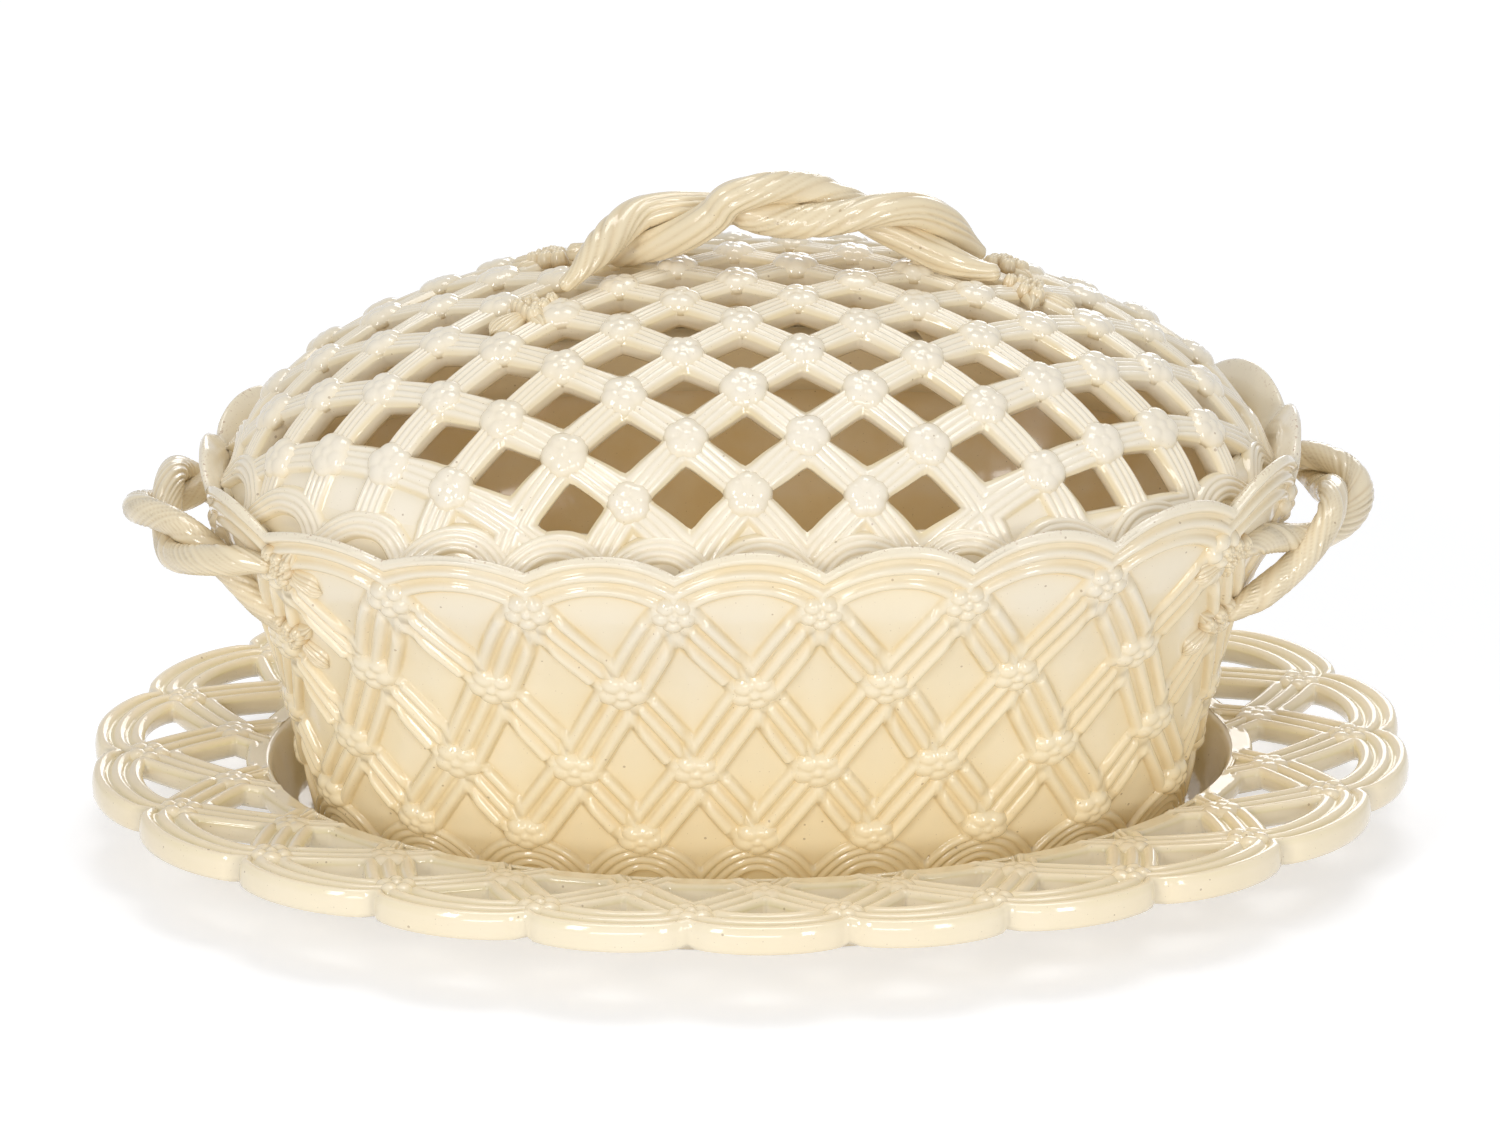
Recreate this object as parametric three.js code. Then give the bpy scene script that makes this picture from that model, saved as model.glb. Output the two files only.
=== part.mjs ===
// Creamware fruit basket: a pierced oval stand, a relief-moulded basket with two rope handles,
// and a pierced domed cover with a twisted rope handle. Millimetres, +Z up, +X along the length,
// origin on the table under the middle of the stand.
import * as THREE from 'three';
import { mergeVertices } from 'three/addons/utils/BufferGeometryUtils.js';

// Clearances
const seatGap = 0.3;           // between two pieces that rest on or touch one another
const mergeTolerance = 1e-4;   // corners nearer than this are one corner

// Stand
const flangeLengthways = 35.7;     // from the well's mouth to the valleys between the scallops
const flangeDepthways = 27.7;
const standScallops = 22;
const standScallopRise = 3.4;      // how far a scallop stands out from the valleys
const standRimTop = 20.6;
const standRimThickness = 6.2;
const standRimRound = 1.7;         // rounding of the rim's edge
const scallopPower = 2.1;          // how full an arch between two valleys is
const wellRoomLengthways = 3.9;    // between the basket's foot and the edge of the well's floor
const wellRoomDepthways = 13.8;
const wellMouthTop = 18.8;
const flangeThickness = 4.4;
const wellFloorTop = 5.5;
const wellFloorInset = 7.5;        // the well's floor lies this far inside its mouth
const wellWall = 4.5;
const footInset = 6.5;             // the foot lies this far inside the outside of the well's mouth
const wellSteps = 88;              // points round the well

// Piercings of the stand, as shares of a scallop's pitch and of the flange's width, from its valleys
// to the outside of the well
const archHoleShares = [
  [-0.34, 0.27], [-0.19, 0.205], [0, 0.183], [0.19, 0.205], [0.34, 0.27], [0.05, 0.625], [-0.05, 0.625],
];
const wedgeHoleShares = [[0, 0.495], [0.28, 0.785], [0.29, 0.895], [0, 0.91], [-0.29, 0.895], [-0.28, 0.785]];
const scallopStepShares = [0, 0.12, 0.3, 0.5, 0.7, 0.88];

// Basket
const basketRimHalfLength = 118.2;
const basketRimHalfDepth = 73.3;
const basketFlare = 23.6;          // how much wider the rim is than the base, on every side
const basketHeight = 83.1;         // base to the valleys of the rim
const basketScallops = 20;
const basketCrestRise = 5.2;
const basketWall = 4.4;
const basketFloor = 4.6;
const basketRimRound = 1.2;
const basketFootRound = 1.4;
const planExponent = 2.32;         // the plan is a little squarer than an ellipse
const rimStepShares = [0, 0.25, 0.5, 0.75];
// The wall's profile: share of the height, and share of the flare that it has there
const wallHeightShares = [0, 0.18, 0.39, 0.63, 0.88, 1];
const wallFlareShares = [0, 0.14, 0.28, 0.54, 0.9, 1];

// Relief of the basket's wall: bands round sunk panels, with a floret over each crossing. The florets
// stand at the profile's levels, and an arch of a band runs under each scallop and over the foot.
const panelSink = 0.6;             // the panels lie this far inside the wall's line
const bandRise = 1.7;              // a band's top above the panels
const floretRise = 3.1;
const floretRadius = 5;
const bandHalfWidth = 3.75;
const bandTopShare = 0.7;          // flat share of a band's half width
const rimBandHalfWidth = 3.8;
const footArchRise = 6.6;          // middle of a foot arch above the foot's rounding
const footArchHalfWidth = 3.2;

// Cover
const coverSeatDepth = 9;          // its edge sits this far below the valleys of the basket's rim
const coverSkirt = 5.4;            // upright stretch above the edge
const coverRise = 44.9;            // dome above the skirt
const coverThickness = 4.8;
const domePlanPower = 2.31;
const domeRisePower = 1.687;
const coverSteps = 80;             // points round the border
const coverEdgeRound = 1;
const borderShares = [0.978, 0.993];

// Lattice of the cover: diagonal bands with a rhombic opening between each four crossings
const cellHalfLength = 12.69;
const cellHalfDepth = 9.23;
const latticeShiftShare = -0.23;   // the lattice is a little off centre
const latticeRowShare = 0.3;
const openingHalfLength = 8.3;
const openingHalfDepth = 4.9;
const openingReachShare = 0.962;   // no opening runs past this share of the plan
const squeezeStartShare = 0.8;     // beyond it the rows draw closer towards the border
const piercedShare = 1.0;
const piercedLeanShare = 0.045;    // the piercing runs a little further out on the right

// Rope handles: two fluted strands wound round one another
const strandSides = 10;            // corners round a strand: ridge and groove in turn
const strandFluteShare = 0.86;     // groove radius as a share of the ridge radius
const fluteTurnShare = 0.0276;     // how far the flutes wind from one ring to the next
const strandRoom = 0.4;            // half the room between two wound strands
const strandLift = 0.8;            // a strand's end clears the cover by this much
const strandSteps = 24;

// The basket's handles, for the right end
const bendStrandRadius = 3.1;
const bendStrandLift = 0.35;         // a strand's end clears the relief by this much
const bendBlendShare = 0.42;       // share of a strand in which it leaves its partner for its own foot
const bendTurnShare = 0.5;         // turns of the pair from front to back
// The pair's line: shares of the way round from the left end, depth below the rim's valleys, and
// distance from the wall
const bendRoundShare = 0.5;
const bendDrop = 11.3;
const bendStandOff = 13.9;
const elbowRoundShare = 0.4645;
const elbowDrop = 13.5;
const elbowStandOff = 8.76;
const rootRoundShare = 0.4413;
const rootDrop = 16.9;
const rootStandOff = 6.18;
const upperTerminalShare = 0.425;  // place of a terminal round the wall
const upperTerminalDrop = 9.4;
const lowerTerminalShare = 0.439;
const lowerTerminalDrop = 28.4;
const upperEndShare = 0.4385;      // where the strand for that terminal ends
const upperEndDrop = 9.4;
const lowerEndShare = 0.451;
const lowerEndDrop = 24.4;

// The cover's handle
const archStrandRadius = 3.3;
const archBlendShare = 0.2;
const archLeft = -39.5;            // where the arch leaves the dome
const archRight = 52.5;
const archSide = 5;
const archRootLift = 3.4;          // the pair starts this far above the strands' own ends
const archHeight = 15.4;           // middle of the pair above the dome's top
const archTop = 4;
const archShoulderShares = [0.34, 0.74];
const archShoulderHeightShare = 0.72;
const archTurnShare = 1.5;         // turns of the pair from foot to foot
const coverTerminals = {
  left_front: { x: -47.2, y: -13.4, strandX: -40.4, strandY: -9.6 },
  left_back: { x: -43.4, y: 19, strandX: -38.6, strandY: 12.9 },
  right_front: { x: 62.4, y: 0.4, strandX: 54.7, strandY: 1.6 },
  right_back: { x: 58.4, y: 16.6, strandX: 52.2, strandY: 11.9 },
};

// Handle terminals: small applied flower sprigs
const sprigLobes = 5;
const sprigRadius = 5.4;
const sprigNotchShare = 0.74;
const sprigThickness = 2.3;
const sprigShoulderShare = 0.62;
const sprigHeartShare = 0.36;
const sprigSeat = 0.6;             // its back clears the curved wall by this much at the middle

const cream = { colour: 0xf1e4c3, roughness: 0.24 };
const standCream = { colour: 0xefe4c4, roughness: 0.26 };
const ropeCream = { colour: 0xeadbb4, roughness: 0.32 };
const coverCream = { colour: 0xf2e7ca, roughness: 0.22 };

// Gathers the faces of one closed body. Rings are closed loops of points with the solid on their left
// when they are seen from above.
class Skin {
  constructor() {
    this.corners = [];
  }

  // A face with two corners in one place is left out.
  face(a, b, c) {
    const shortest = Math.min(a.distanceTo(b), b.distanceTo(c), c.distanceTo(a));
    if (shortest > mergeTolerance) this.corners.push(a, b, c);
  }

  strip(upper, lower) {
    for (let i = 0; i < upper.length; i++) {
      const j = (i + 1) % upper.length;
      this.face(upper[i], lower[i], lower[j]);
      this.face(upper[i], lower[j], upper[j]);
    }
  }

  // Closes a ring with faces that see the ring run anticlockwise.
  cap(ring) {
    const centre = new THREE.Vector3();
    for (const point of ring) centre.addScaledVector(point, 1 / ring.length);
    for (let i = 0; i < ring.length; i++) this.face(centre, ring[i], ring[(i + 1) % ring.length]);
  }

  // Fills a flat pattern of a contour with holes, carried to a surface by place(x, y).
  sheet(contour, holes, place, faceUp) {
    const flat = [...contour, ...holes.flat()];
    for (const [a, b, c] of THREE.ShapeUtils.triangulateShape(contour, holes)) {
      const turn = (flat[b].x - flat[a].x) * (flat[c].y - flat[a].y)
        - (flat[c].x - flat[a].x) * (flat[b].y - flat[a].y);
      const [p, q, r] = [a, b, c].map((i) => place(flat[i].x, flat[i].y));
      if ((turn > 0) === faceUp) this.face(p, q, r);
      else this.face(p, r, q);
    }
  }

  geometry() {
    const positions = new Float32Array(this.corners.length * 3);
    this.corners.forEach((corner, i) => corner.toArray(positions, i * 3));
    const geometry = new THREE.BufferGeometry();
    geometry.setAttribute('position', new THREE.BufferAttribute(positions, 3));
    return mergeVertices(geometry, mergeTolerance);
  }
}

// A closed body through successive rings, capped at both ends.
function loft(rings) {
  const skin = new Skin();
  for (let i = 0; i + 1 < rings.length; i++) skin.strip(rings[i], rings[i + 1]);
  skin.cap(rings[0]);
  skin.cap([...rings[rings.length - 1]].reverse());
  return skin.geometry();
}

function meshOf(name, geometry, finish) {
  const material = new THREE.MeshStandardMaterial({
    color: finish.colour, roughness: finish.roughness, metalness: 0,
  });
  const mesh = new THREE.Mesh(geometry, material);
  mesh.name = name;
  return mesh;
}

// Oval outlines. A share of 0 is the left end, and shares run to the front first.
const arcTables = new Map();
const arcSteps = 1440;

function ovalRadius(angle, halfLength, halfDepth, exponent) {
  const along = Math.abs(Math.cos(angle)) / halfLength;
  const across = Math.abs(Math.sin(angle)) / halfDepth;
  return (along ** exponent + across ** exponent) ** (-1 / exponent);
}

function arcTable(halfLength, halfDepth, exponent) {
  const key = [halfLength, halfDepth, exponent].map((v) => v.toFixed(4)).join();
  if (!arcTables.has(key)) {
    const lengths = [0];
    let last = null;
    for (let i = 0; i <= arcSteps; i++) {
      const angle = Math.PI + (2 * Math.PI * i) / arcSteps;
      const radius = ovalRadius(angle, halfLength, halfDepth, exponent);
      const point = new THREE.Vector2(radius * Math.cos(angle), radius * Math.sin(angle));
      if (last) lengths.push(lengths[lengths.length - 1] + point.distanceTo(last));
      last = point;
    }
    arcTables.set(key, lengths);
  }
  return arcTables.get(key);
}

// The point at a share of the way round an oval, measured along its length.
function ovalPoint(halfLength, halfDepth, exponent, share) {
  const lengths = arcTable(halfLength, halfDepth, exponent);
  const goal = (share - Math.floor(share)) * lengths[arcSteps];
  let low = 0;
  let high = arcSteps;
  while (high - low > 1) {
    const middle = (low + high) >> 1;
    if (lengths[middle] <= goal) low = middle;
    else high = middle;
  }
  const step = low + (goal - lengths[low]) / (lengths[high] - lengths[low]);
  const angle = Math.PI + (2 * Math.PI * step) / arcSteps;
  const radius = ovalRadius(angle, halfLength, halfDepth, exponent);
  return new THREE.Vector2(radius * Math.cos(angle), radius * Math.sin(angle));
}

// An arch from valley to valley: 0 at both ends, 1 in the middle, with a cusp at each valley.
function arch(share) {
  return 1 - Math.abs(2 * share - 1) ** scallopPower;
}

// The stand
const basketBaseHalfLength = basketRimHalfLength - basketFlare;
const basketBaseHalfDepth = basketRimHalfDepth - basketFlare;
const wellHalfLength = basketBaseHalfLength + wellRoomLengthways + wellFloorInset;
const wellHalfDepth = basketBaseHalfDepth + wellRoomDepthways + wellFloorInset;
const standHalfLength = wellHalfLength + flangeLengthways;
const standHalfDepth = wellHalfDepth + flangeDepthways;
const outerMouthSize = [wellHalfLength + wellWall / 2, wellHalfDepth + wellWall / 2, 2];

function flangePoint(scallop, widthShare) {
  const share = scallop / standScallops;
  const rim = ovalPoint(standHalfLength, standHalfDepth, 2, share);
  return rim.lerp(ovalPoint(...outerMouthSize, share), widthShare);
}

function flangeTop(x, y) {
  const angle = Math.atan2(y, x);
  const reach = Math.hypot(x, y);
  const mouth = ovalRadius(angle, wellHalfLength, wellHalfDepth, 2);
  const rim = ovalRadius(angle, standHalfLength, standHalfDepth, 2);
  const share = THREE.MathUtils.clamp((reach - mouth) / (rim - mouth), 0, 1);
  return wellMouthTop + (standRimTop - wellMouthTop) * share;
}

function ovalRing(halfLength, halfDepth, exponent, z, steps) {
  return Array.from({ length: steps }, (_, i) => {
    const point = ovalPoint(halfLength, halfDepth, exponent, i / steps);
    return new THREE.Vector3(point.x, point.y, z);
  });
}

function scallopedRing(inset, z) {
  const ring = [];
  for (let k = 0; k < standScallops; k++) {
    for (const step of scallopStepShares) {
      const edge = ovalPoint(standHalfLength, standHalfDepth, 2, (k + step) / standScallops);
      const outward = new THREE.Vector2(edge.x / standHalfLength ** 2, edge.y / standHalfDepth ** 2);
      outward.setLength(standScallopRise * arch(step) - inset);
      if (standScallopRise * arch(step) < inset) outward.negate();
      edge.add(outward);
      ring.push(new THREE.Vector3(edge.x, edge.y, z(edge.x, edge.y)));
    }
  }
  return ring;
}

function flatten(ring) {
  return ring.map((point) => new THREE.Vector2(point.x, point.y));
}

function standHoles() {
  const holes = [];
  for (let k = 0; k < standScallops; k++) {
    holes.push(archHoleShares.map(([along, inward]) => flangePoint(k + 0.5 + along, inward)));
    holes.push(wedgeHoleShares.map(([along, inward]) => flangePoint(k + along, inward)));
  }
  return holes.map((hole) => (THREE.ShapeUtils.isClockWise(hole) ? hole : hole.reverse()));
}

function standDish() {
  const skin = new Skin();
  const under = (x, y) => flangeTop(x, y) - flangeThickness;
  const rimUnder = standRimTop - standRimThickness;
  const topEdge = scallopedRing(standRimRound, flangeTop);
  const sideTop = scallopedRing(0, () => standRimTop - standRimRound);
  const sideBottom = scallopedRing(0, () => rimUnder + standRimRound);
  const underEdge = scallopedRing(standRimRound, () => rimUnder);
  const mouth = ovalRing(wellHalfLength, wellHalfDepth, 2, wellMouthTop, wellSteps);
  const outerMouth = ovalRing(...outerMouthSize, 0, wellSteps);
  for (const point of outerMouth) point.z = under(point.x, point.y);
  const floor = ovalRing(
    wellHalfLength - wellFloorInset, wellHalfDepth - wellFloorInset, 2, wellFloorTop, wellSteps,
  );
  const foot = ovalRing(outerMouthSize[0] - footInset, outerMouthSize[1] - footInset, 2, 0, wellSteps);

  const holes = standHoles();
  skin.sheet(flatten(topEdge), [...holes, flatten(mouth).reverse()],
    (x, y) => new THREE.Vector3(x, y, flangeTop(x, y)), true);
  const underZ = new Map(underEdge.map((point) => [`${point.x},${point.y}`, point.z]));
  skin.sheet(flatten(underEdge), [...holes, flatten(outerMouth).reverse()],
    (x, y) => new THREE.Vector3(x, y, underZ.get(`${x},${y}`) ?? under(x, y)), false);
  for (const hole of holes) {
    skin.strip(
      hole.map((p) => new THREE.Vector3(p.x, p.y, flangeTop(p.x, p.y))),
      hole.map((p) => new THREE.Vector3(p.x, p.y, under(p.x, p.y))),
    );
  }
  skin.strip(topEdge, sideTop);
  skin.strip(sideTop, sideBottom);
  skin.strip(sideBottom, underEdge);
  skin.strip([...mouth].reverse(), [...floor].reverse());
  skin.cap(floor);
  skin.strip(outerMouth, foot);
  skin.cap([...foot].reverse());
  return skin.geometry();
}

// The basket
const basketBase = wellFloorTop + seatGap;
const basketRim = basketBase + basketHeight;

function flareAt(z) {
  const heightShare = THREE.MathUtils.clamp((z - basketBase) / basketHeight, 0, 1);
  let i = 0;
  while (i + 2 < wallHeightShares.length && wallHeightShares[i + 1] < heightShare) i++;
  const step = (heightShare - wallHeightShares[i]) / (wallHeightShares[i + 1] - wallHeightShares[i]);
  return basketFlare * THREE.MathUtils.lerp(wallFlareShares[i], wallFlareShares[i + 1], step);
}

function wallPlan(z, inset, share) {
  const flare = flareAt(z) - inset;
  return ovalPoint(basketBaseHalfLength + flare, basketBaseHalfDepth + flare, planExponent, share);
}

function basketRing(inset, heightOf) {
  const ring = [];
  for (let k = 0; k < basketScallops; k++) {
    for (const step of rimStepShares) {
      const z = heightOf(arch(step));
      const share = (k + 0.5 + step) / basketScallops;
      const point = wallPlan(z, inset, share);
      ring.push(new THREE.Vector3(point.x, point.y, z));
    }
  }
  return ring;
}

// A point of the basket's wall and its outward normal, at a share of the way round.
function wallPoint(share, z) {
  const plan = wallPlan(z, 0, share);
  return new THREE.Vector3(plan.x, plan.y, z);
}

const slopeReach = 0.02;           // slopes are taken over this reach either side
const nearShare = 0.0025;

function wallNormal(share, z) {
  const round = wallPoint(share + nearShare, z).sub(wallPoint(share - nearShare, z));
  const rise = wallPoint(share, z + slopeReach).sub(wallPoint(share, z - slopeReach));
  return round.cross(rise).normalize();
}

// A point above the panels, at a place [scallop, z] of the wall.
function reliefPoint([scallop, z], rise) {
  const share = scallop / basketScallops;
  return wallPoint(share, z).addScaledVector(wallNormal(share, z), rise - panelSink);
}

function bandRing(heightOf) {
  const ring = [];
  for (let k = 0; k < basketScallops; k++) {
    for (const step of rimStepShares) {
      ring.push(reliefPoint([k + 0.5 + step, heightOf(arch(step))], bandRise));
    }
  }
  return ring;
}

// Where two lines meet after each has moved to its left by its own width.
function meet([a, aAhead], aWidth, [b, bAhead], bWidth) {
  const side = (from, to) => new THREE.Vector2(from.y - to.y, to.x - from.x).normalize();
  const [left, right] = [side(a, aAhead), side(b, bAhead)];
  const [leftReach, rightReach] = [left.dot(a) + aWidth, right.dot(b) + bWidth];
  const turn = left.cross(right);
  return new THREE.Vector2(
    (leftReach * right.y - rightReach * left.y) / turn,
    (left.x * rightReach - right.x * leftReach) / turn,
  );
}

// Mirrors a share of the way round from the right end's front to the left end, and to the back.
function placeShare(share, left, back) {
  const ownEnd = left ? 0.5 - share : share;
  return back ? 1 - ownEnd : ownEnd;
}

// Where the basket's handles end in terminals
const basketTerminals = ['left', 'right'].flatMap((side) => ['front', 'back'].flatMap((depth) => [
  ['upper', upperTerminalShare, upperTerminalDrop], ['lower', lowerTerminalShare, lowerTerminalDrop],
].map(([level, share, drop]) => ({
  name: `${side}_sprig_${depth}_${level}`,
  share: placeShare(share, side === 'left', depth === 'back'),
  z: basketRim - drop,
}))));

// Height over the panels at a crossing, which has no floret where a handle's terminal covers it.
function crossingRise([scallop, z]) {
  const point = wallPoint(scallop / basketScallops, z);
  const reach = sprigRadius + floretRadius;
  const covered = basketTerminals.some((terminal) => (
    wallPoint(terminal.share, terminal.z).distanceTo(point) < reach
  ));
  return covered ? bandRise : floretRise;
}

// Share of a straight band that a floret covers at either end.
function trimShare(line) {
  const [from, to] = [line[0], line.at(-1)].map(([scallop, z]) => wallPoint(scallop / basketScallops, z));
  return floretRadius / from.distanceTo(to);
}

// A cell of the relief. Each side is the middle line of a band, anticlockwise seen from outside, as
// places [scallop, z], with half the band's width. crossing is the floret's place before the side.
function reliefCell(skin, middle, sides) {
  const pitch = wallPoint((middle[0] + 0.5) / basketScallops, middle[1])
    .distanceTo(wallPoint((middle[0] - 0.5) / basketScallops, middle[1]));
  const flat = ([scallop, z]) => new THREE.Vector2(scallop * pitch, z);
  const raised = (point, rise) => reliefPoint([point.x / pitch, point.y], rise);
  const lines = sides.map(({ line }) => line.map(flat));
  const outer = [];
  const shoulder = [];
  const panel = [];
  lines.forEach((line, j) => {
    const before = lines.at(j - 1);
    const { crossing, halfWidth } = sides[j];
    const nextCrossing = sides[(j + 1) % sides.length].crossing;
    const trimmed = line.map((point) => point.clone());
    const trim = (point, ahead, place) => {
      const meets = place && point.distanceTo(flat(place)) < mergeTolerance;
      if (meets) point.lerp(ahead, trimShare(sides[j].line));
    };
    trim(trimmed[0], line[1], crossing);
    trim(trimmed.at(-1), line.at(-2), nextCrossing);
    if (crossing) outer.push([raised(flat(crossing), crossingRise(crossing)), panel.length]);
    line.slice(0, -1).forEach((point, i) => {
      const from = i ? line.slice(i - 1) : before.slice(-2);
      const inner = meet(from, i ? halfWidth : sides.at(j - 1).halfWidth, line.slice(i), halfWidth);
      const start = i === 0 && crossing ? flat(crossing) : point;
      outer.push([raised(trimmed[i], bandRise), panel.length]);
      shoulder.push(raised(start.clone().lerp(inner, bandTopShare), bandRise));
      panel.push(raised(inner, 0));
    });
    if (nextCrossing) outer.push([raised(trimmed.at(-1), bandRise), panel.length]);
  });
  outer.forEach(([point, place], i) => {
    const [next, nextPlace] = outer[(i + 1) % outer.length];
    const [from, to] = [place % panel.length, nextPlace % panel.length];
    skin.face(point, next, shoulder[from]);
    if (from !== to) skin.face(next, shoulder[to], shoulder[from]);
  });
  skin.strip(panel, shoulder);
  skin.cap(panel);
}

function basketRelief(skin) {
  const levels = wallHeightShares.slice(1, -1).map((share) => basketBase + basketHeight * share);
  const [foot, low, high, top] = levels;
  const rimArch = (step) => basketRim - rimBandHalfWidth + basketCrestRise * arch(step);
  const footArch = (step) => basketBase + basketFootRound + footArchRise * arch(step);
  const steps = [...rimStepShares, 1];
  const band = (from, to) => ({ line: [from, to], crossing: from, halfWidth: bandHalfWidth });
  for (let k = 0; k < basketScallops; k++) {
    const [left, right] = [k - 0.5, k + 0.5];
    const overhead = [...steps].reverse().map((step) => [left + step, rimArch(step)]);
    reliefCell(skin, [k, top], [
      band([left, top], [k, high]),
      band([k, high], [right, top]),
      { line: overhead, crossing: [right, top], halfWidth: rimBandHalfWidth },
    ]);
    const rhombus = (centre, below, level, above) => reliefCell(skin, [centre, level], [
      band([centre, above], [centre - 0.5, level]),
      band([centre - 0.5, level], [centre, below]),
      band([centre, below], [centre + 0.5, level]),
      band([centre + 0.5, level], [centre, above]),
    ]);
    rhombus(right, low, high, top);
    rhombus(k, foot, low, high);
    const falling = steps.filter((step) => step >= 0.5).map((step) => [left + step, footArch(step)]);
    const rising = steps.filter((step) => step <= 0.5).map((step) => [right + step, footArch(step)]);
    reliefCell(skin, [right, foot], [
      band([right, low], [k, foot]),
      { line: falling, crossing: [k, foot], halfWidth: footArchHalfWidth },
      { line: rising, crossing: null, halfWidth: footArchHalfWidth },
      band([k + 1, foot], [right, low]),
    ]);
  }
  skin.strip(bandRing((crest) => basketBase + basketFootRound + footArchRise * crest),
    bandRing(() => basketBase + basketFootRound));
}

function basketBody() {
  const level = (heightShare) => basketBase + basketHeight * heightShare;
  const rimHeight = (crest) => basketRim + basketCrestRise * crest;
  const wallLevels = wallHeightShares.slice(1, -1);
  const skin = new Skin();
  const inside = [
    basketRing(basketWall + basketFootRound, () => basketBase + basketFloor),
    ...wallLevels.map((heightShare) => basketRing(basketWall, () => level(heightShare))),
    basketRing(basketWall, (crest) => rimHeight(crest) - basketRimRound),
    basketRing(basketWall / 2, rimHeight),
    bandRing((crest) => rimHeight(crest) - basketRimRound),
    bandRing((crest) => rimHeight(crest) - rimBandHalfWidth),
  ];
  skin.cap(inside[0]);
  for (let i = 0; i + 1 < inside.length; i++) skin.strip(inside[i], inside[i + 1]);
  basketRelief(skin);
  const sole = basketRing(basketFootRound, () => basketBase);
  skin.strip(bandRing(() => basketBase + basketFootRound), sole);
  skin.cap([...sole].reverse());
  return skin.geometry();
}

// The cover
const coverEdge = basketRim - coverSeatDepth;
const coverSpring = coverEdge + coverSkirt;
const coverInset = basketWall + seatGap;
const coverHalfLength = basketBaseHalfLength + flareAt(coverEdge) - coverInset;
const coverHalfDepth = basketBaseHalfDepth + flareAt(coverEdge) - coverInset;

function planShare(x, y) {
  return ((Math.abs(x) / coverHalfLength) ** planExponent
    + (Math.abs(y) / coverHalfDepth) ** planExponent) ** (1 / planExponent);
}

function domeHeight(x, y) {
  const fall = Math.max(0, 1 - planShare(x, y) ** domePlanPower);
  return coverSpring + coverRise * fall ** (1 / domeRisePower);
}

// Outward normal of the dome, from its slope over a short reach.
const steepestShare = 0.998;       // slopes are taken no nearer to the border than this
const crownShare = 0.01;

function domeNormal(x, y) {
  const inside = Math.min(1, steepestShare / Math.max(planShare(x, y), crownShare));
  const [u, v] = [x * inside, y * inside];
  const slopeX = (domeHeight(u + slopeReach, v) - domeHeight(u - slopeReach, v)) / (2 * slopeReach);
  const slopeY = (domeHeight(u, v + slopeReach) - domeHeight(u, v - slopeReach)) / (2 * slopeReach);
  return new THREE.Vector3(-slopeX, -slopeY, 1).normalize();
}

function domePoint(x, y, depth) {
  return new THREE.Vector3(x, y, domeHeight(x, y)).addScaledVector(domeNormal(x, y), -depth);
}

// Carries a point of the flat lattice to the plan, closing the rows up towards the border.
function latticePlan(x, y) {
  const share = planShare(x, y);
  const over = Math.max(0, share - squeezeStartShare);
  const placed = Math.min(share - over * over, openingReachShare);
  return new THREE.Vector2((x * placed) / share, (y * placed) / share);
}

function latticeCentre(column, row) {
  return new THREE.Vector2(
    cellHalfLength * (column + latticeShiftShare),
    cellHalfDepth * (row + latticeRowShare),
  );
}

function coverOpenings() {
  const openings = [];
  const openingCorners = [
    [-openingHalfLength, 0], [0, openingHalfDepth], [openingHalfLength, 0], [0, -openingHalfDepth],
  ];
  const columns = Math.ceil(coverHalfLength / cellHalfLength) + 1;
  const rows = Math.ceil(coverHalfDepth / cellHalfDepth) + 1;
  for (let row = -rows; row <= rows; row++) {
    for (let column = -columns; column <= columns; column++) {
      if ((column + row) % 2 !== 0) continue;
      const centre = latticeCentre(column, row);
      const limit = piercedShare + (piercedLeanShare * centre.x) / coverHalfLength;
      if (planShare(centre.x, centre.y) > limit) continue;
      openings.push(openingCorners.map(([dx, dy]) => latticePlan(centre.x + dx, centre.y + dy)));
    }
  }
  return openings;
}

function coverRing(share, depth) {
  return Array.from({ length: coverSteps }, (_, i) => {
    const point = ovalPoint(coverHalfLength, coverHalfDepth, planExponent, i / coverSteps);
    point.multiplyScalar(share);
    return domePoint(point.x, point.y, depth);
  });
}

function coverDome() {
  const skin = new Skin();
  const contour = Array.from({ length: coverSteps }, (_, i) => (
    ovalPoint(coverHalfLength, coverHalfDepth, planExponent, i / coverSteps).multiplyScalar(borderShares[0])
  ));
  const openings = coverOpenings();
  skin.sheet(contour, openings, (x, y) => domePoint(x, y, 0), true);
  skin.sheet(contour, openings, (x, y) => domePoint(x, y, coverThickness), false);
  for (const opening of openings) {
    skin.strip(
      opening.map((p) => domePoint(p.x, p.y, 0)),
      opening.map((p) => domePoint(p.x, p.y, coverThickness)),
    );
  }
  const edgeRing = (inset, z) => (
    ovalRing(coverHalfLength - inset, coverHalfDepth - inset, planExponent, z, coverSteps)
  );
  const rings = [
    coverRing(borderShares[0], 0),
    coverRing(borderShares[1], 0),
    edgeRing(0, coverSpring),
    edgeRing(0, coverEdge + coverEdgeRound),
    edgeRing(coverEdgeRound, coverEdge),
    edgeRing(coverThickness, coverEdge),
    edgeRing(coverThickness, coverSpring),
    coverRing(borderShares[1], coverThickness),
    coverRing(borderShares[0], coverThickness),
  ];
  for (let i = 0; i + 1 < rings.length; i++) skin.strip(rings[i], rings[i + 1]);
  return skin.geometry();
}

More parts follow.
